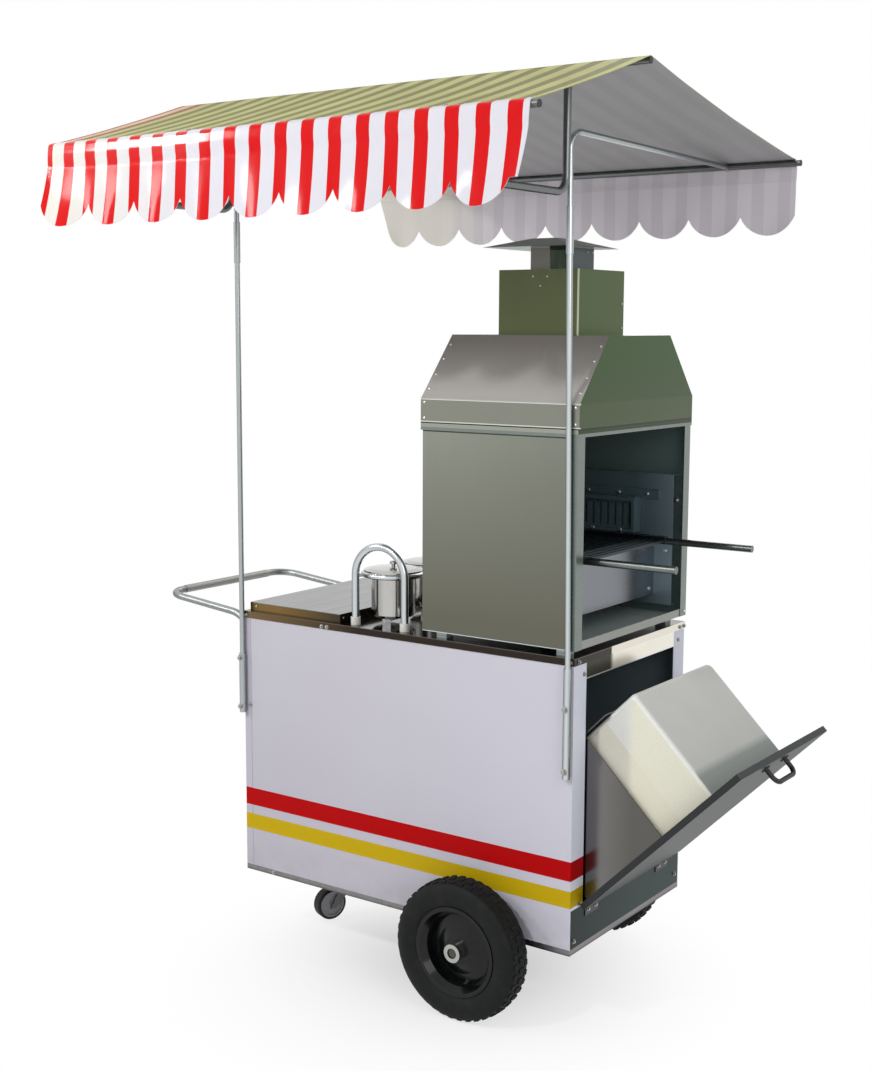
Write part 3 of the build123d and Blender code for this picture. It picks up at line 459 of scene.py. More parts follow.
# Pot rack: a bent galvanised tube guard with welded rings, in moulded white foot ferrules.
# Its pots and lids are spun from thin polished sheet.
def drawn(name, bright, roughness, stain=0.1, shade=0.5):
    """Drawn or spun bright steel, painted lightest toward the front and darker on its left and right sides:
    painted highlight and shade.
    """
    finish = plated(name, bright, roughness, stain, 10)
    # Painted light and shade by facing: lighter toward the front, darker on the left and right sides.
    sideways = finish.sum("MULTIPLY", finish.facing("X"), 0.83)
    side = finish.sum("ADD", sideways, finish.sum("MULTIPLY", finish.facing("Y"), 0.56))
    finish.tinge(finish.spread(side, 0.85, 0, (-0.95, -0.4)), darker(bright, shade * 0.5))
    finish.tinge(finish.spread(side, 0, 0.8, (-0.05, 0.6)), darker(bright, shade))
    return finish


coat(drawn("rack_tube", tone(206, 212, 214), 0.2), "pot_rack")
ferrule = Finish("ferrule_plastic", tone(228, 228, 222), 0.35)
ferrule.tinge(ferrule.spread(ferrule.noise(70), 0, 0.5), tone(196, 192, 182))
ferrule.bump(ferrule.noise(300), 0.0001)
coat(ferrule, "rack_ferrules")
spun = drawn("spun_pot", tone(190, 189, 186), 0.08, 0.2, 0.4)
coat(spun, "front_pot", "rear_pot", "front_pot_lid", "rear_pot_lid")
coat(galvanised("clip_sheet", tone(186, 188, 190), roughness=0.3), "pot_clips")

# Grill oven: walls of satin rolled sheet with galvanised corner strips and a top band.
# The hood's slope is painted brighter low down and darker higher up, painted light and shade, and the olive
# on the hood's right end and on the chimney box is a painted reflection, with painted shade on the chimney.
oven_top = 1.464
band_low = 1.444
hood_shoulder = 1.5203
cap_low = 1.887
edge_shade = 0.0028
oven_sheet = rolled("oven_sheet", tone(136, 139, 128), 0.38, (260, 260, 3), 0.05)
# The oven walls are painted darker toward the right end and toward the bottom: painted shade.
oven_shade_span = (spot(150, 0, 0).x, spot(450, 0, 0).x)
wall_shade_heights = (0.98, 1.42)
oven_sheet.wash("X", oven_shade_span, 0, 0.5, tone(116, 119, 110))
oven_sheet.wash("Z", wall_shade_heights, 1, 0, tone(106, 105, 94))
# The oven's inside faces are painted teal grey and made less metallic: painted shade.
left_skin = oven_sheet.sum("LESS_THAN", oven_sheet.axis("X"), spot(81.2, 0, 0).x)
oven_skin = oven_sheet.sum("MAXIMUM", oven_sheet.off("Y", body_middle.y, inner_half_depth), left_skin)
oven_sheet.tinge(oven_sheet.sum("SUBTRACT", 1.0, oven_skin), tone(104, 124, 122))
below_band = oven_sheet.past("Z", band_low - 0.0032)
oven_sheet.tinge(oven_sheet.sum("MULTIPLY", oven_skin, below_band), tone(64, 65, 58))
oven_sheet.metal(oven_sheet.spread(oven_skin, 0.25, 1.0))
coat(oven_sheet, "oven_walls")
oven_base = rolled("oven_floor_sheet", tone(192, 204, 204), 0.34)
oven_base.tinge(oven_base.past("X", spot(515, 0, 0).x), tone(156, 159, 152))
oven_base.metal(0.3)
coat(oven_base, "oven_floor")
trim = plated("trim_strip", tone(126, 134, 129), 0.26, 0.2, 40)
upper_band = trim.past("Z", band_low + 0.008)
trim.tinge(upper_band, tone(154, 158, 146))
# The top band's right end face is painted dark olive: a painted reflection.
trim.tinge(trim.sum("MULTIPLY", upper_band, trim.past("X", spot(519, 0, 0).x)), tone(60, 70, 52))
trim.tinge(trim.past("Z", oven_top - edge_shade), tone(52, 54, 46))
coat(trim, "oven_trim")
hood_sheet = rolled("hood_sheet", tone(136, 138, 128), 0.2, (3, 260, 260), 0.05)
hood_sheet.shader.inputs["Specular IOR Level"].default_value = 0.1
hood_above = hood_sheet.past("Z", hood_shoulder)
hood_sheet.metal(hood_sheet.spread(hood_above, 0.8, 0.5))
# The hood slope is painted bright at its foot and darker toward the top: painted light and shade.
slope_heights = (1.535, 1.66)
hood_slope_shading = hood_sheet.grade("Z", slope_heights, tone(212, 208, 203), tone(166, 160, 153))
hood_sheet.tinge(hood_above, hood_slope_shading)
# The hood's right end is painted olive green: a painted reflection.
side_heights = (1.475, 1.6)
hood_side_reflection = hood_sheet.grade("Z", side_heights, tone(82, 93, 70), tone(71, 94, 60))
hood_sheet.tinge(hood_sheet.past("X", spot(521.5, 0, 0).x), hood_side_reflection)
# A bright line is painted along the front fold: a painted highlight.
fold_half = 0.0018
hood_fold_highlight = hood_sheet.sum("COMPARE", hood_sheet.axis("Z"), hood_shoulder, fold_half)
hood_front = hood_sheet.sum("LESS_THAN", hood_sheet.axis("Y"), spot(0, -284, 0).y)
hood_sheet.tinge(hood_sheet.sum("MULTIPLY", hood_fold_highlight, hood_front), tone(226, 226, 218))
# A bright line is painted along the front foot: a painted highlight.
hood_foot_highlight = hood_sheet.sum("LESS_THAN", hood_sheet.axis("Z"), oven_top + edge_shade)
hood_sheet.tinge(hood_sheet.sum("MULTIPLY", hood_foot_highlight, hood_front), tone(208, 210, 200))
coat(hood_sheet, "hood")
# The chimney box is painted olive, greener on its right side: painted shade and reflection.
chimney_sheet = rolled("chimney_sheet", tone(88, 95, 68), 0.3, (260, 260, 3), 0.1)
chimney_sheet.tinge(chimney_sheet.past("X", spot(410.5, 0, 0).x), tone(78, 93, 60))
# A bright line is painted down the front right corner: a painted highlight.
chimney_corner_highlight = chimney_sheet.sum("LESS_THAN", chimney_sheet.axis("Y"), spot(0, -110, 0).y)
chimney_corner_highlight = chimney_sheet.sum("MULTIPLY", chimney_corner_highlight, chimney_sheet.past("X", spot(408, 0, 0).x))
chimney_sheet.tinge(chimney_corner_highlight, tone(178, 186, 158))
coat(chimney_sheet, "chimney_box")
flue_sheet = rolled("flue_sheet", tone(138, 146, 136), 0.3, (260, 260, 3), 0.08)
below_cap = flue_sheet.sum("LESS_THAN", flue_sheet.axis("Z"), cap_low)
flue_front = flue_sheet.sum("LESS_THAN", flue_sheet.facing("Y"), -0.9)
flue_sheet.tinge(flue_sheet.sum("MULTIPLY", below_cap, flue_front), tone(112, 110, 104))
# Below the cap, the right end is painted darker: painted shade.
flue_end_shade = flue_sheet.past("X", spot(354, 0, 0).x)
flue_sheet.tinge(flue_sheet.sum("MULTIPLY", below_cap, flue_end_shade), tone(74, 80, 82))
chimney_low, chimney_high = (Vector(corner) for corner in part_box("chimney_box"))
flue_middle = (chimney_low + chimney_high) / 2
# The inner walls of the flue are painted a bright pale green and made barely metallic: a painted reflection.
flue_inner_half = 0.0563
flue_inside_reflection = flue_sheet.sum("COMPARE", flue_sheet.axis("X"), flue_middle.x, flue_inner_half)
across_flue = flue_sheet.sum("COMPARE", flue_sheet.axis("Y"), flue_middle.y, flue_inner_half)
flue_inside_reflection = flue_sheet.sum("MULTIPLY", flue_inside_reflection, across_flue)
flue_inside_reflection = flue_sheet.sum("MULTIPLY", flue_inside_reflection, below_cap)
flue_sheet.tinge(flue_inside_reflection, tone(234, 248, 230))
flue_sheet.metal(flue_sheet.spread(flue_inside_reflection, 1.0, 0.1))
coat(flue_sheet, "chimney_cap")

# Inside the oven: a blue-grey heat shield, the iron burner with its brass pipe, the apron under the grate,
# and plated rails that carry the sliding grate.
shield_sheet = rolled("shield_sheet", tone(104, 124, 132), 0.3)
shield_sheet.metal(0.5)
# The shield is painted lighter toward the right end: painted light.
shield_lit_end = (spot(380, 0, 0).x, spot(500, 0, 0).x)
shield_sheet.wash("X", shield_lit_end, 0, 0.9, tone(156, 176, 187))
coat(shield_sheet, "heat_shield")
iron = Finish("burner_iron", tone(74, 94, 100), 0.7, gloss=0.1)
scale_marks = iron.noise(55, detail=6)
iron.tinge(iron.spread(scale_marks, 0, 0.8, (0.5, 0.78)), tone(90, 96, 94))
iron.bump(scale_marks, 0.0003)
coat(iron, "burner")
coat(plated("gas_brass", tone(184, 152, 88), 0.3), "gas_pipe")
coat(rolled("apron_sheet", tone(126, 129, 134), 0.24), "apron")
coat(plated("rail_plate", tone(120, 126, 124), 0.3), "grate_rails")
coat(plated("grate_bar", tone(56, 66, 70), 0.36), "sliding_grate")

# Tilt-out door: a folded pan of dull sheet with a hung bin of bright galvanised sheet, plated butt hinges
# and a moulded black pull.
door_sheet = rolled("door_sheet", tone(42, 45, 46), 0.46)
door_sheet.metal(0.5)
coat(door_sheet, "door_panel")
bin_sheet = rolled("bin_sheet", tone(98, 97, 93), 0.2, (260, 260, 2))
# The bin is painted lighter toward its foot by the cabinet: a painted reflection.
bin_reflection_span = (spot(500, 0, 0).x, spot(640, 0, 0).x)
bin_sheet.wash("X", bin_reflection_span, 0.6, 0, tone(148, 146, 147))
coat(bin_sheet, "door_bin")
coat(plated("hinge_plate", tone(74, 78, 78), 0.34), "door_hinges", "hinge_door_leaves")
pull_plastic = Finish("pull_plastic", tone(28, 29, 29), 0.45)
pull_plastic.tinge(pull_plastic.spread(pull_plastic.noise(40), 0, 0.4), tone(58, 57, 55))
pull_plastic.rough(pull_plastic.spread(pull_plastic.noise(120), 0.35, 0.6))
pull_plastic.bump(pull_plastic.noise(700), 0.0001)
coat(pull_plastic, "door_pull", "tube_end_plugs")

# Foam cooler: a box and a plugged lid moulded from expanded beads, whose faint outlines show.
# The side faces are painted cream furthest from the cart and greyer nearer it, a painted shade, and the lid
# is painted grey toward the door, a painted shadow.
lid_edge = spot(632, 0, 0).x
# Where the painted shadow of the door begins and ends across the lid.
door_ways = [point.co.x - point.co.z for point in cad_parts["foam_lid"].data.vertices]
door_shadow_start = min(door_ways) + 0.72 * (max(door_ways) - min(door_ways))
door_shadow_full = door_shadow_start + 0.03
for foam_piece, pale_foam, worn_foam in (
    ("foam_cooler", tone(216, 213, 201), tone(208, 204, 190)),
    ("foam_lid", tone(226, 227, 223), tone(218, 219, 214)),
):
    foam = Finish(foam_piece + "_beads", pale_foam, 0.62, gloss=0.3)
    beads = foam.cells(300, edge=True)
    foam.tinge(foam.spread(foam.noise(5), 0, 1, (0.35, 0.7)), worn_foam)
    side_face = foam.sum("ABSOLUTE", foam.facing("Y"))
    # The side faces are painted cream beyond the lid's edge and stay greyer nearer the cart: painted light
    # and shade.
    lit_side_share = foam.spread(foam.axis("X"), 0.05, 0.75, (lid_edge - 0.012, lid_edge + 0.004))
    foam.tinge(foam.sum("MULTIPLY", foam.sum("GREATER_THAN", side_face, 0.9), lit_side_share), tone(232, 229, 206))
    foam.tinge(foam.sum("COMPARE", side_face, 0.5, 0.4), tone(244, 245, 240))
    # The lid's top face is painted grey toward the door: a painted shadow.
    door_way = foam.sum("SUBTRACT", foam.axis("X"), foam.axis("Z"))
    door_shadow = foam.spread(door_way, 0, 1, (door_shadow_start, door_shadow_full))
    lid_face = foam.sum("GREATER_THAN", foam.sum("MULTIPLY", foam.facing("X"), foam.facing("Z")), 0.4)
    foam.tinge(foam.sum("MULTIPLY", door_shadow, lid_face), tone(162, 169, 165))
    foam.tinge(foam.spread(beads, 0, 0.16, (0.35, 0.75)), tone(204, 201, 190))
    foam.rough(foam.spread(beads, 0.5, 0.7))
    foam.bump(foam.spread(beads, 1, 0), 0.0003, 0.4)
    coat(foam, foam_piece)

# Push handle: one bent galvanised tube, clipped to the end panel by plated saddles,
# with a soft grey sleeve over its cross bar.
coat(drawn("handle_zinc", tone(158, 161, 160), 0.38), "push_handle")
coat(zinc, "handle_saddles")
sleeve = Finish("grip_sleeve", tone(152, 152, 148), 0.36, metallic=0.5)
sleeve_wear = sleeve.noise(30, (1, 0.4, 1), detail=5)
sleeve.tinge(sleeve.spread(sleeve_wear, 0, 0.8, (0.4, 0.7)), tone(126, 126, 122))
sleeve.bump(sleeve.noise(500), 0.00015)
coat(sleeve, "handle_grip")

# Canopy frame: sockets bolted to the front panel, bent posts in them and bent arms to the roof tubes,
# all of thin galvanised tube. A short sleeve covers the joint high on each post.
tube_zinc = drawn("tube_zinc", tone(204, 211, 212), 0.22, 0.1, 0.5)
# The left post is painted darker than the right one: painted shade.
shaded_left_post = tube_zinc.sum("LESS_THAN", tube_zinc.axis("X"), body_middle.x)
tube_zinc.tinge(tube_zinc.sum("MULTIPLY", shaded_left_post, 0.6), tone(158, 163, 164))
coat(tube_zinc, "post_sockets", "canopy_posts")
# The roof arms and tubes get a darker copy of the zinc: painted shade under the roof.
coat(plated("shaded_roof_tube_zinc", tone(114, 117, 117), 0.26, 0.12), "roof_arms", "roof_tubes")


def choose(piece, test):
    """Goes to edit mode with the faces selected whose middle and normal pass a test."""
    bpy.ops.object.mode_set(mode="EDIT")
    bpy.ops.mesh.select_mode(type="FACE")
    bpy.ops.mesh.select_all(action="DESELECT")
    bpy.ops.object.mode_set(mode="OBJECT")
    for face in piece.data.polygons:
        face.select = test(face.center, face.normal)
    bpy.ops.object.mode_set(mode="EDIT")


def settle(piece, name, body, finish, angle=30):
    """Names a finished piece, gives it its finish and smooth shading, and ties it to its body."""
    piece.name = name
    piece.data.materials.clear()
    piece.data.materials.append(finish.material)
    bpy.ops.object.select_all(action="DESELECT")
    piece.select_set(True)
    bpy.context.view_layer.objects.active = piece
    bpy.ops.object.transform_apply(location=True, rotation=True, scale=True)
    bpy.ops.object.shade_smooth_by_angle(angle=radians(angle))
    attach(piece, body)


def set_copies(name, pattern, places, body, finish):
    """Copies of a small part at places with their outward directions, joined to one piece."""
    copies = []
    for place, outward in places:
        twin = bpy.data.objects.new(name, pattern.data.copy())
        turn = Vector(outward).to_track_quat("Z", "Y").to_matrix().to_4x4()
        twin.data.transform(Matrix.Translation(place) @ turn)
        bpy.context.scene.collection.objects.link(twin)
        copies.append(twin)
    bpy.ops.object.select_all(action="DESELECT")
    for twin in copies:
        twin.select_set(True)
    bpy.context.view_layer.objects.active = copies[0]
    if len(copies) > 1:
        bpy.ops.object.join()
    settle(bpy.context.view_layer.objects.active, name, body, finish)


def collar(inner, outer, length):
    """A short tube with rolled edges, standing on the XY plane."""
    bpy.ops.object.select_all(action="DESELECT")
    bpy.ops.mesh.primitive_cylinder_add(vertices=32, radius=outer, depth=length, location=(0, 0, length / 2))
    ring = bpy.context.object
    bpy.ops.object.transform_apply(location=True)
    choose(ring, lambda middle, normal: abs(normal.z) > 0.9)
    bpy.ops.mesh.inset(thickness=(outer - inner) * 0.3, depth=0)
    bpy.ops.transform.resize(value=(1, 1, 1 + 2 * (outer - inner) * 0.3 / length))
    bpy.ops.mesh.inset(thickness=(outer - inner) * 0.65, depth=0)
    bpy.ops.mesh.bridge_edge_loops()
    bpy.ops.object.mode_set(mode="OBJECT")
    return ring


post_sleeve = collar(0.0072, 0.0086, 0.105)
sleeve_low = 1858
post_foot = 920
post_bend = 2131
lean = 15 / (post_bend - post_foot)
post_line = -296.5
sleeve_places = [
    (spot(-516, post_line, sleeve_low), (0, 0, 1)),
    (spot(505 - lean * (sleeve_low - post_foot), post_line, sleeve_low), (-lean, 0, 1)),
]
set_copies("post_sleeves", post_sleeve, sleeve_places, "cart", tube_zinc)
bpy.data.objects.remove(post_sleeve)

# Canopy roof: one sheet of coated cloth drawn over the three roof tubes and down a little at the eaves.
# It hangs slack between the tubes, with a dull coating below.
roof_left = spot(-688, 0, 0).x
roof_right = spot(680, 0, 0).x
front_eave = Vector(spot(0, -763, 2118).yz)
ridge = Vector(spot(0, -312.5, 2260).yz)
back_eave = Vector(spot(0, 531, 2118).yz)
scallops = 9
front_pitch = 0.1485
stripe_pitch = front_pitch / 2
stripe_half = 0.0172
cloth_radius = 0.0089
cloth_thickness = 0.0011


def slope_normal(start, end):
    run = (end - start).normalized()
    return Vector((-run.y, run.x))


def round_tube(centre, radius, first, last, steps):
    """Points round a tube in the cart's cross section, between two angles."""
    turns = [first + (last - first) * step / steps for step in range(steps + 1)]
    return [centre + radius * Vector((cos(turn), sin(turn))) for turn in turns]


def slack(start, end, sag, steps):
    """Points of cloth that hangs between two points, without the ends."""
    normal = slope_normal(start, end)
    shares = [step / steps for step in range(1, steps)]
    return [start.lerp(end, s) - normal * (sag * 4 * s * (1 - s)) for s in shares]


def hung_sheet(name, columns, rows, place):
    """A flat grid of cloth whose points are moved to where they hang, by column and row."""
    bpy.ops.object.select_all(action="DESELECT")
    bpy.ops.mesh.primitive_grid_add(x_subdivisions=columns, y_subdivisions=rows, size=1)
    piece = bpy.context.object
    piece.name = name
    for point in piece.data.vertices:
        column = round((point.co.x + 0.5) * columns)
        row = round((point.co.y + 0.5) * rows)
        point.co = place(column, row)
    return piece


def thicken(piece, normal_side, other_side):
    """Gives the cloth its thickness, with its own finish on each side."""
    piece.data.materials.append(normal_side)
    piece.data.materials.append(other_side)
    modifier = piece.modifiers.new("thickness", "SOLIDIFY")
    modifier.thickness = cloth_thickness
    modifier.offset = 0
    modifier.material_offset = 1
    modifier.use_even_offset = True
    bpy.ops.object.select_all(action="DESELECT")
    piece.select_set(True)
    bpy.context.view_layer.objects.active = piece
    bpy.ops.object.modifier_apply(modifier=modifier.name)
    bpy.ops.object.shade_smooth_by_angle(angle=radians(40))


def woven(finish, depth=0.00012):
    """The fine weave that shows through the coating, as crossed ridges about a millimetre apart."""
    thread_rate = 5200
    along = finish.sum("SINE", finish.sum("MULTIPLY", finish.axis("X"), thread_rate))
    down = finish.sum("ADD", finish.axis("Y"), finish.axis("Z"))
    up = finish.sum("SINE", finish.sum("MULTIPLY", down, thread_rate))
    weave = finish.sum("MULTIPLY", along, up)
    creases = finish.noise(9, (1, 0.6, 0.6), detail=4)
    finish.bump(finish.sum("ADD", weave, finish.sum("MULTIPLY", creases, 6)), depth)


def in_stripe(finish):
    """Is 1 in the woven stripes, which are centred on the front lobes and on the notches between them."""
    place = finish.sum("SUBTRACT", finish.axis("X"), roof_left)
    near = finish.sum("PINGPONG", place, stripe_pitch / 2)
    inside = finish.sum("LESS_THAN", near, stripe_half)
    border = finish.sum("LESS_THAN", finish.axis("X"), roof_left + scallops * front_pitch + stripe_half)
    return finish.sum("MULTIPLY", inside, border)


front_normal = slope_normal(front_eave, ridge)
back_normal = slope_normal(ridge, back_eave)
front_turn = atan2(front_normal.y, front_normal.x)
back_turn = atan2(back_normal.y, back_normal.x)
roof_line = [front_eave + Vector((-cloth_radius, -0.008))]
roof_line += round_tube(front_eave, cloth_radius, pi, front_turn, 6)
roof_line += slack(front_eave + cloth_radius * front_normal, ridge + cloth_radius * front_normal, 0.0025, 26)
roof_line += round_tube(ridge, cloth_radius, front_turn, back_turn, 6)
roof_line += slack(ridge + cloth_radius * back_normal, back_eave + cloth_radius * back_normal, 0.004, 44)
roof_line += round_tube(back_eave, cloth_radius, back_turn, 0, 6)
roof_line += [back_eave + Vector((cloth_radius, -0.008))]
roof_columns = 120
folds = random.Random(4)
waves = [(folds.uniform(2, 11), folds.uniform(0, 6.28), folds.uniform(-2.0, 2.0)) for wave in range(7)]


def roof_place(column, row):
    """Where a point of the roof hangs: drawn out along the ridge, and rippled away from the tubes."""
    y, z = roof_line[row]
    drawn_out = 0.015 * max(0, 1 - abs(y - ridge.x) / 0.45)
    x = roof_left + (roof_right - roof_left + drawn_out) * column / roof_columns
    clear = min(hypot(y - tube.x, z - tube.y) for tube in (front_eave, ridge, back_eave))
    ripple = sum(sin(rate * x + phase + skew * 6 * y) for rate, phase, skew in waves) / 7
    return x, y, z - max(0, min(1, (clear - 0.02) / 0.15)) * (0.0015 - 0.0025 * ripple)


roof = hung_sheet("roof_cloth", roof_columns, len(roof_line) - 1, roof_place)
roof_top = Finish("roof_stripes", tone(178, 176, 112), 0.42, gloss=0.2)
# The stripes are painted olive and cream, a painted reflection over red and white cloth, and turn to their
# own red and white only at the left end.
own_colour_share = roof_top.spread(roof_top.axis("X"), 1, 0, (roof_left + 0.02, roof_left + 0.13))
dark_stripe = roof_top.mix(own_colour_share, tone(118, 114, 46), tone(176, 36, 36))
pale_stripe = roof_top.mix(own_colour_share, tone(188, 188, 114), tone(226, 198, 168))
cloth_haze = roof_top.noise(6, detail=4)
roof_top.colour(roof_top.mix(in_stripe(roof_top), pale_stripe, dark_stripe))
roof_top.tinge(roof_top.spread(cloth_haze, 0, 0.25, (0.45, 0.7)), tone(128, 126, 84))
roof_top.rough(roof_top.spread(cloth_haze, 0.34, 0.52))
woven(roof_top)
roof_below = Finish("roof_lining", tone(184, 183, 185), 0.6, gloss=0.2)
roof_below.tinge(in_stripe(roof_below), tone(178, 176, 178))
roof_below.tinge(roof_below.spread(roof_below.noise(4, detail=4), 0, 0.5), tone(160, 159, 160))
woven(roof_below)
thicken(roof, roof_top.material, roof_below.material)
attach(roof, "cart")
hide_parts("canopy_roof")
roof_length = sum((end - start).length for start, end in zip(roof_line, roof_line[1:]))

# Valances: striped coated cloth cut to scallops, sewn over the roof cloth at the eaves.
# The front one is stitched below its tube and flares forward, the back one hangs straight.
columns_per_lobe = 24
cusp_share = 0.73
crease_drop = 0.044
lap = 0.012
valance_radius = cloth_radius + 0.0014


class Valance:
    """A scalloped strip from its lap on the roof, round the eave tube and down to the cut edge."""

    def __init__(self, eave, turns, drop, pitch, outward, flare):
        self.eave = eave
        self.drop = drop
        self.pitch = pitch
        self.outward = outward
        self.flare = flare
        self.border = max(0.0, roof_right - roof_left - scallops * pitch)
        toward_ridge = (ridge - eave).normalized()
        top = eave + valance_radius * Vector((cos(turns[0]), sin(turns[0])))
        self.head = [top + toward_ridge * lap, top + toward_ridge * lap / 2]
        self.head += round_tube(eave, valance_radius, *turns, 6)
        self.neck = 6
        self.skirt = 20
        self.lobe_columns = columns_per_lobe * scallops
        self.columns = self.lobe_columns + (6 if self.border > 0.001 else 0)
        self.rows = len(self.head) - 1 + self.neck + self.skirt
        arc = valance_radius * abs(turns[1] - turns[0])
        self.length = lap + arc + hypot(drop, flare)

    def along(self, column):
        """The place of a column on the eave, from the left end."""
        if column <= self.lobe_columns:
            return self.pitch * column / columns_per_lobe
        share = (column - self.lobe_columns) / (self.columns - self.lobe_columns)
        return scallops * self.pitch + self.border * share

    def cut(self, along):
        """How far the cut edge hangs below the eave."""
        rise = self.drop * (1 - cusp_share)
        radius = self.pitch * self.pitch / (8 * rise) + rise / 2
        if along > scallops * self.pitch:
            return self.drop - rise
        across = along % self.pitch - self.pitch / 2
        return self.drop - radius + sqrt(radius * radius - across * across)

    def hang(self, along, down):
        """Where the cloth is, at a place along the eave and a length down from it."""
        held = 0.02
        seam_half = 0.006
        x = roof_left + along
        width = roof_right - roof_left
        below = min(1, max(0, (down - held) / (self.drop - held)))
        belly = sin(pi * (along / self.pitch % 1)) ** 2 if along < scallops * self.pitch else 0
        sway = sin(9.1 * x + 0.4) * 0.5 + sin(21.7 * x + 2.1) * 0.3 + sin(47 * x + 1.2) * 0.2
        out = self.flare * below ** 1.4 + below * below * (0.008 * belly - 0.003 + 0.006 * sway)
        if self.flare:
            ends = 2.72 ** (-along / 0.06) + 2.72 ** ((along - width) / 0.07)
            out += 0.040 * ends * below ** 1.5
            past_lobes = max(0, along - scallops * self.pitch) / self.border
            x -= 0.010 * past_lobes * below
        else:
            x += 0.055 * below * 2.72 ** (-along / 0.05)
        pinch = 0.0007 * max(0, 1 - abs(down - crease_drop) / seam_half)
        swell = 0.0026 * sin(pi * min(1, down / crease_drop))
        from_tube = valance_radius + out + swell - pinch
        return Vector((x, self.eave.x + self.outward * from_tube, self.eave.y - down))

    def place(self, column, row):
        along = self.along(column)
        if row < len(self.head):
            return roof_left + along, *self.head[row]
        step = row - len(self.head) + 1
        start = crease_drop + 0.004
        if step <= self.neck:
            return self.hang(along, start * step / self.neck)
        return self.hang(along, start + (self.cut(along) - start) * (step - self.neck) / self.skirt)

    def area(self):
        """The cloth in the cut piece."""
        steps = 2000
        width = roof_right - roof_left
        missing = sum(self.drop - self.cut(width * (step + 0.5) / steps) for step in range(steps))
        return width * self.length - missing * width / steps


def striped_cloth(name, red, pale, left_end_tone, roughness, coating):
    """Coated cloth with woven stripes, whose white turns to another tone toward the left end."""
    finish = Finish(name, pale, roughness, gloss=0.05)
    finish.shader.inputs["Coat Roughness"].default_value = 0.1
    haze = finish.noise(7, detail=4)
    glazed = finish.spread(finish.axis("Z"), 0, 1, (front_eave.y - 0.06, front_eave.y - 0.03))
    glazed = finish.sum("MULTIPLY", glazed, finish.spread(finish.noise(3, (1, 0.2, 0.2)), 0, 1, (0.45, 0.6)))
    finish.feed(finish.spread(glazed, coating * 0.5, coating * 3), finish.shader.inputs["Coat Weight"])
    finish.wash("X", (roof_left, roof_left + 0.5), 0.8, 0, left_end_tone)
    finish.tinge(finish.spread(haze, 0, 0.04, (0.45, 0.75)), darker(pale, 0.5))
    finish.tinge(in_stripe(finish), red)
    finish.rough(finish.spread(haze, roughness - 0.08, roughness + 0.1))
    woven(finish, 0.0001)
    return finish


front_cloth = Valance(front_eave, (front_turn, pi), 0.190, front_pitch, -1, 0.014)
back_cloth = Valance(back_eave, (back_turn, 0), 0.182, (roof_right - roof_left) / scallops, 1, 0)
front_valance = hung_sheet("front_valance_cloth", front_cloth.columns, front_cloth.rows, front_cloth.place)
back_valance = hung_sheet("back_valance_cloth", back_cloth.columns, back_cloth.rows, back_cloth.place)
# Near white for the back valance's lining toward its left end: painted light.
lit_lining_white = tone(255, 250, 240)
face_tones = (tone(216, 6, 10), tone(224, 222, 230), tone(234, 230, 216))
back_tones = (tone(234, 227, 236), tone(244, 239, 246), lit_lining_white)
valance_face = striped_cloth("valance_stripes", *face_tones, 0.3, 0.3)
valance_back = striped_cloth("valance_lining", *back_tones, 0.5, 0.0)
# The lining's left part is painted near white: painted light.
valance_back.wash("X", (roof_left + 0.25, roof_left + 0.4), 0.9, 0, lit_lining_white)
thicken(front_valance, valance_back.material, valance_face.material)
thicken(back_valance, valance_face.material, valance_back.material)
for piece, node, cloth in (
    (front_valance, "front_valance", front_cloth),
    (back_valance, "back_valance", back_cloth),
):
    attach(piece, "cart")
    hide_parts(node)
    cloth.area()

# Stitches and eyelets: a row of white thread holds each valance below its tube,
# and plated eyelets are pressed into the roof along the front eave.
bpy.ops.object.select_all(action="DESELECT")
bpy.ops.mesh.primitive_cylinder_add(vertices=6, radius=0.00055, depth=0.0036)
stitch = bpy.context.object
thread = Finish("thread", tone(226, 222, 214), 0.8)
thread.tinge(thread.spread(thread.noise(900), 0, 0.6), tone(178, 172, 162))
thread.bump(thread.noise(2500), 0.0001)
stitch_pitch = 0.005
for name, cloth in (("front_stitches", front_cloth), ("back_stitches", back_cloth)):
    seam = []
    for number in range(1, int((roof_right - roof_left) / stitch_pitch)):
        start = cloth.hang((number - 0.4) * stitch_pitch, crease_drop)
        end = cloth.hang((number + 0.4) * stitch_pitch, crease_drop)
        seam.append(((start + end) / 2 + Vector((0, cloth.outward * 0.0006, 0)), end - start))
    set_copies(name, stitch, seam, "cart", thread)
bpy.data.objects.remove(stitch)

eyelet_metal = plated("eyelet_plate", tone(176, 176, 170), 0.24)
eyelet = collar(0.0032, 0.0058, 0.0011)
slope = Vector((0, front_normal.x, front_normal.y))
from_eave = 0.013 * (ridge - front_eave).normalized() + (cloth_radius + 0.0022) * front_normal
eyelet_line = front_eave + from_eave
eyelet_places = [
    (Vector((spot(x, 0, 0).x, eyelet_line.x, eyelet_line.y)), slope) for x in (-504, -238, -8, 226, 470)
]
set_copies("eave_eyelets", eyelet, eyelet_places, "cart", eyelet_metal)
bpy.data.objects.remove(eyelet)


# Bolts and rivets: plated hexagon bolts on pressed washers, and domed rivets along the hood.
# They go through the sockets, the folded rim, the hinges, the saddles, the oven and the chimney.
def disc(sides, radius, low, high):
    """A short round or many-sided bar along Z, between two heights."""
    middle = (0, 0, (low + high) / 2)
    bpy.ops.mesh.primitive_cylinder_add(vertices=sides, radius=radius, depth=high - low, location=middle)
    bpy.ops.object.transform_apply(location=True)
    return bpy.context.object


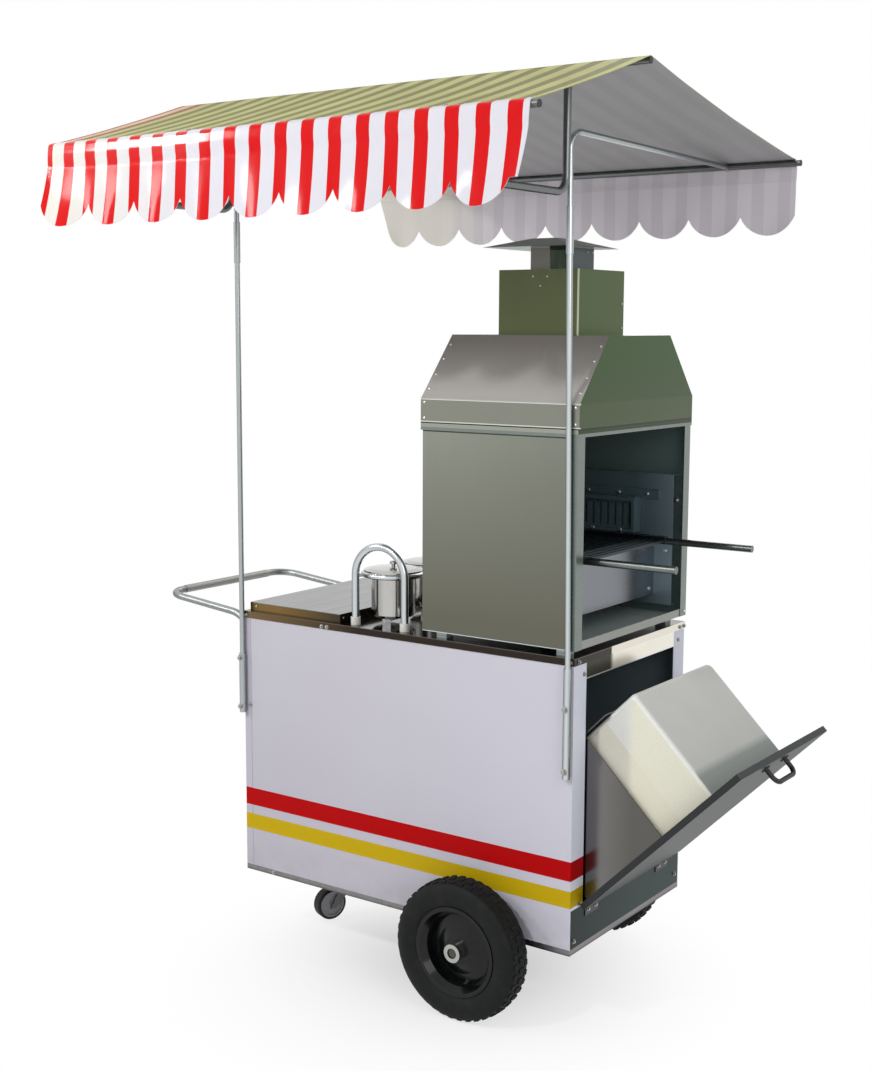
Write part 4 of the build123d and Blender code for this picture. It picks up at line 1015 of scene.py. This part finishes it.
def hexagon_bolt(size):
    """A bolt head of a given width, standing on the XY plane."""
    bpy.ops.object.select_all(action="DESELECT")
    bolt = disc(6, size * 0.56, size * 0.12, size * 0.62)
    choose(bolt, lambda middle, normal: normal.z > 0.9)
    bpy.ops.mesh.inset(thickness=size * 0.1, depth=size * 0.05)
    bpy.ops.mesh.inset(thickness=size * 0.12, depth=size * 0.02)
    bpy.ops.object.mode_set(mode="OBJECT")
    washer = disc(20, size * 0.84, 0, size * 0.12)
    choose(washer, lambda middle, normal: normal.z > 0.9)
    bpy.ops.mesh.inset(thickness=size * 0.08, depth=size * 0.03)
    bpy.ops.object.mode_set(mode="OBJECT")
    bolt.select_set(True)
    bpy.context.view_layer.objects.active = bolt
    bpy.ops.object.join()
    return bolt


def domed_rivet(radius):
    """A rivet's domed head, standing on the XY plane."""
    bpy.ops.object.select_all(action="DESELECT")
    rivet = disc(12, radius, 0, radius * 0.3)
    choose(rivet, lambda middle, normal: normal.z > 0.9)
    bpy.ops.mesh.inset(thickness=radius * 0.25, depth=radius * 0.2)
    bpy.ops.mesh.inset(thickness=radius * 0.35, depth=radius * 0.1)
    bpy.ops.object.mode_set(mode="OBJECT")
    return rivet


front = (0, -1, 0)
right = (1, 0, 0)
left = (-1, 0, 0)
under = (0, 0, -1)
bolt_metal = plated("bolt_plate", tone(164, 164, 161), 0.26)
# A brighter copy of the plating for the oven bolts and hood rivets: a painted highlight.
glint_metal = plated("glint_bolt_plate", tone(226, 226, 228), 0.3)
large_bolt = hexagon_bolt(0.010)
small_bolt = hexagon_bolt(0.007)
rivet_head = domed_rivet(0.003)
socket_face = post_line - 9.6
socket_holes = ((-516, 665), (-516, 800), (505, 658), (505, 808))
socket_bolts = [(spot(x, socket_face, z), front) for x, z in socket_holes]
set_copies("socket_bolts", large_bolt, socket_bolts, "cart", bolt_metal)
rim_bolts = [(spot(x, -289, z), front) for x, z in ((-508, 917), (-243, 916), (-226, 916), (508, 918))]
rim_bolts += [(spot(519, y, 917), right) for y in (-268, 258, 281)]
set_copies("rim_bolts", small_bolt, rim_bolts, "cart", bolt_metal)
panel_bolts = [(spot(-496, -287, 669), front), (spot(-420, -287, 207.5), front)]
end_holes = ((252, 884), (-240, 884), (265, 242), (-268, 232), (-246, 318))
panel_bolts += [(spot(517, y, z), right) for y, z in end_holes]
set_copies("panel_bolts", small_bolt, panel_bolts, "cart", bolt_metal)
hinge_bolts = [(spot(519, y, 294), right) for y in (-203, -167, 167, 203)]
set_copies("hinge_bolts", small_bolt, hinge_bolts, "cart", bolt_metal)
saddle_bolts = [
    (spot(-519, leg + side * 19, z), left) for leg in (-250, 250) for side in (-1, 1) for z in (760, 815)
]
set_copies("saddle_bolts", small_bolt, saddle_bolts, "cart", bolt_metal)
arm_bolts = [(spot(x, 531, 2110.5), under) for x in (-516, 490)]
set_copies("arm_bolts", small_bolt, arm_bolts, "cart", bolt_metal)
oven_bolts = [(spot(439, y, 1015), right) for y in (-231, 231)]
oven_bolts += [(spot(x, 253, 1262), front) for x in (242, 334, 418)]
oven_bolts += [(spot(x, 223, 1166), front) for x in (274, 356)]
oven_bolts += [(spot(471, 257, 1116), front), (spot(487, 285, 1247), front), (spot(517, 277, 958), right)]
set_copies("oven_bolts", small_bolt, oven_bolts, "cart", glint_metal)
chimney_bolts = [(spot(x, -113, z), front) for x, z in ((284, 1817), (324, 1816), (305, 1794))]
chimney_bolts += [(spot(411.5, 103, z), right) for z in (1752, 1692)]
chimney_bolts += [(spot(355.5, y, 1878), right) for y in (24, 50)]
set_copies("chimney_screws", rivet_head, chimney_bolts, "cart", bolt_metal)
hood_line = -289
slope_run = 134
slope_rise = 155
slope_low = 1520
slope_out = Vector((0, -slope_rise, slope_run)).normalized()
hood_rivets = []
for x in (86, 511):
    for share in (0.16, 0.38, 0.62, 0.84):
        place = spot(x, hood_line + slope_run * share, slope_low + slope_rise * share)
        hood_rivets.append((place, slope_out))
    hood_rivets += [(spot(x, hood_line, z), front) for z in (1512, 1474)]
set_copies("hood_rivets", rivet_head, hood_rivets, "cart", glint_metal)
lid_rivets = [(spot(-481, -277, 941), front), (spot(-191, -263, 941), right)]
set_copies("lid_rivets", rivet_head, lid_rivets, "basin_cover", bolt_metal)
for bolt in (large_bolt, small_bolt, rivet_head):
    bpy.data.objects.remove(bolt)
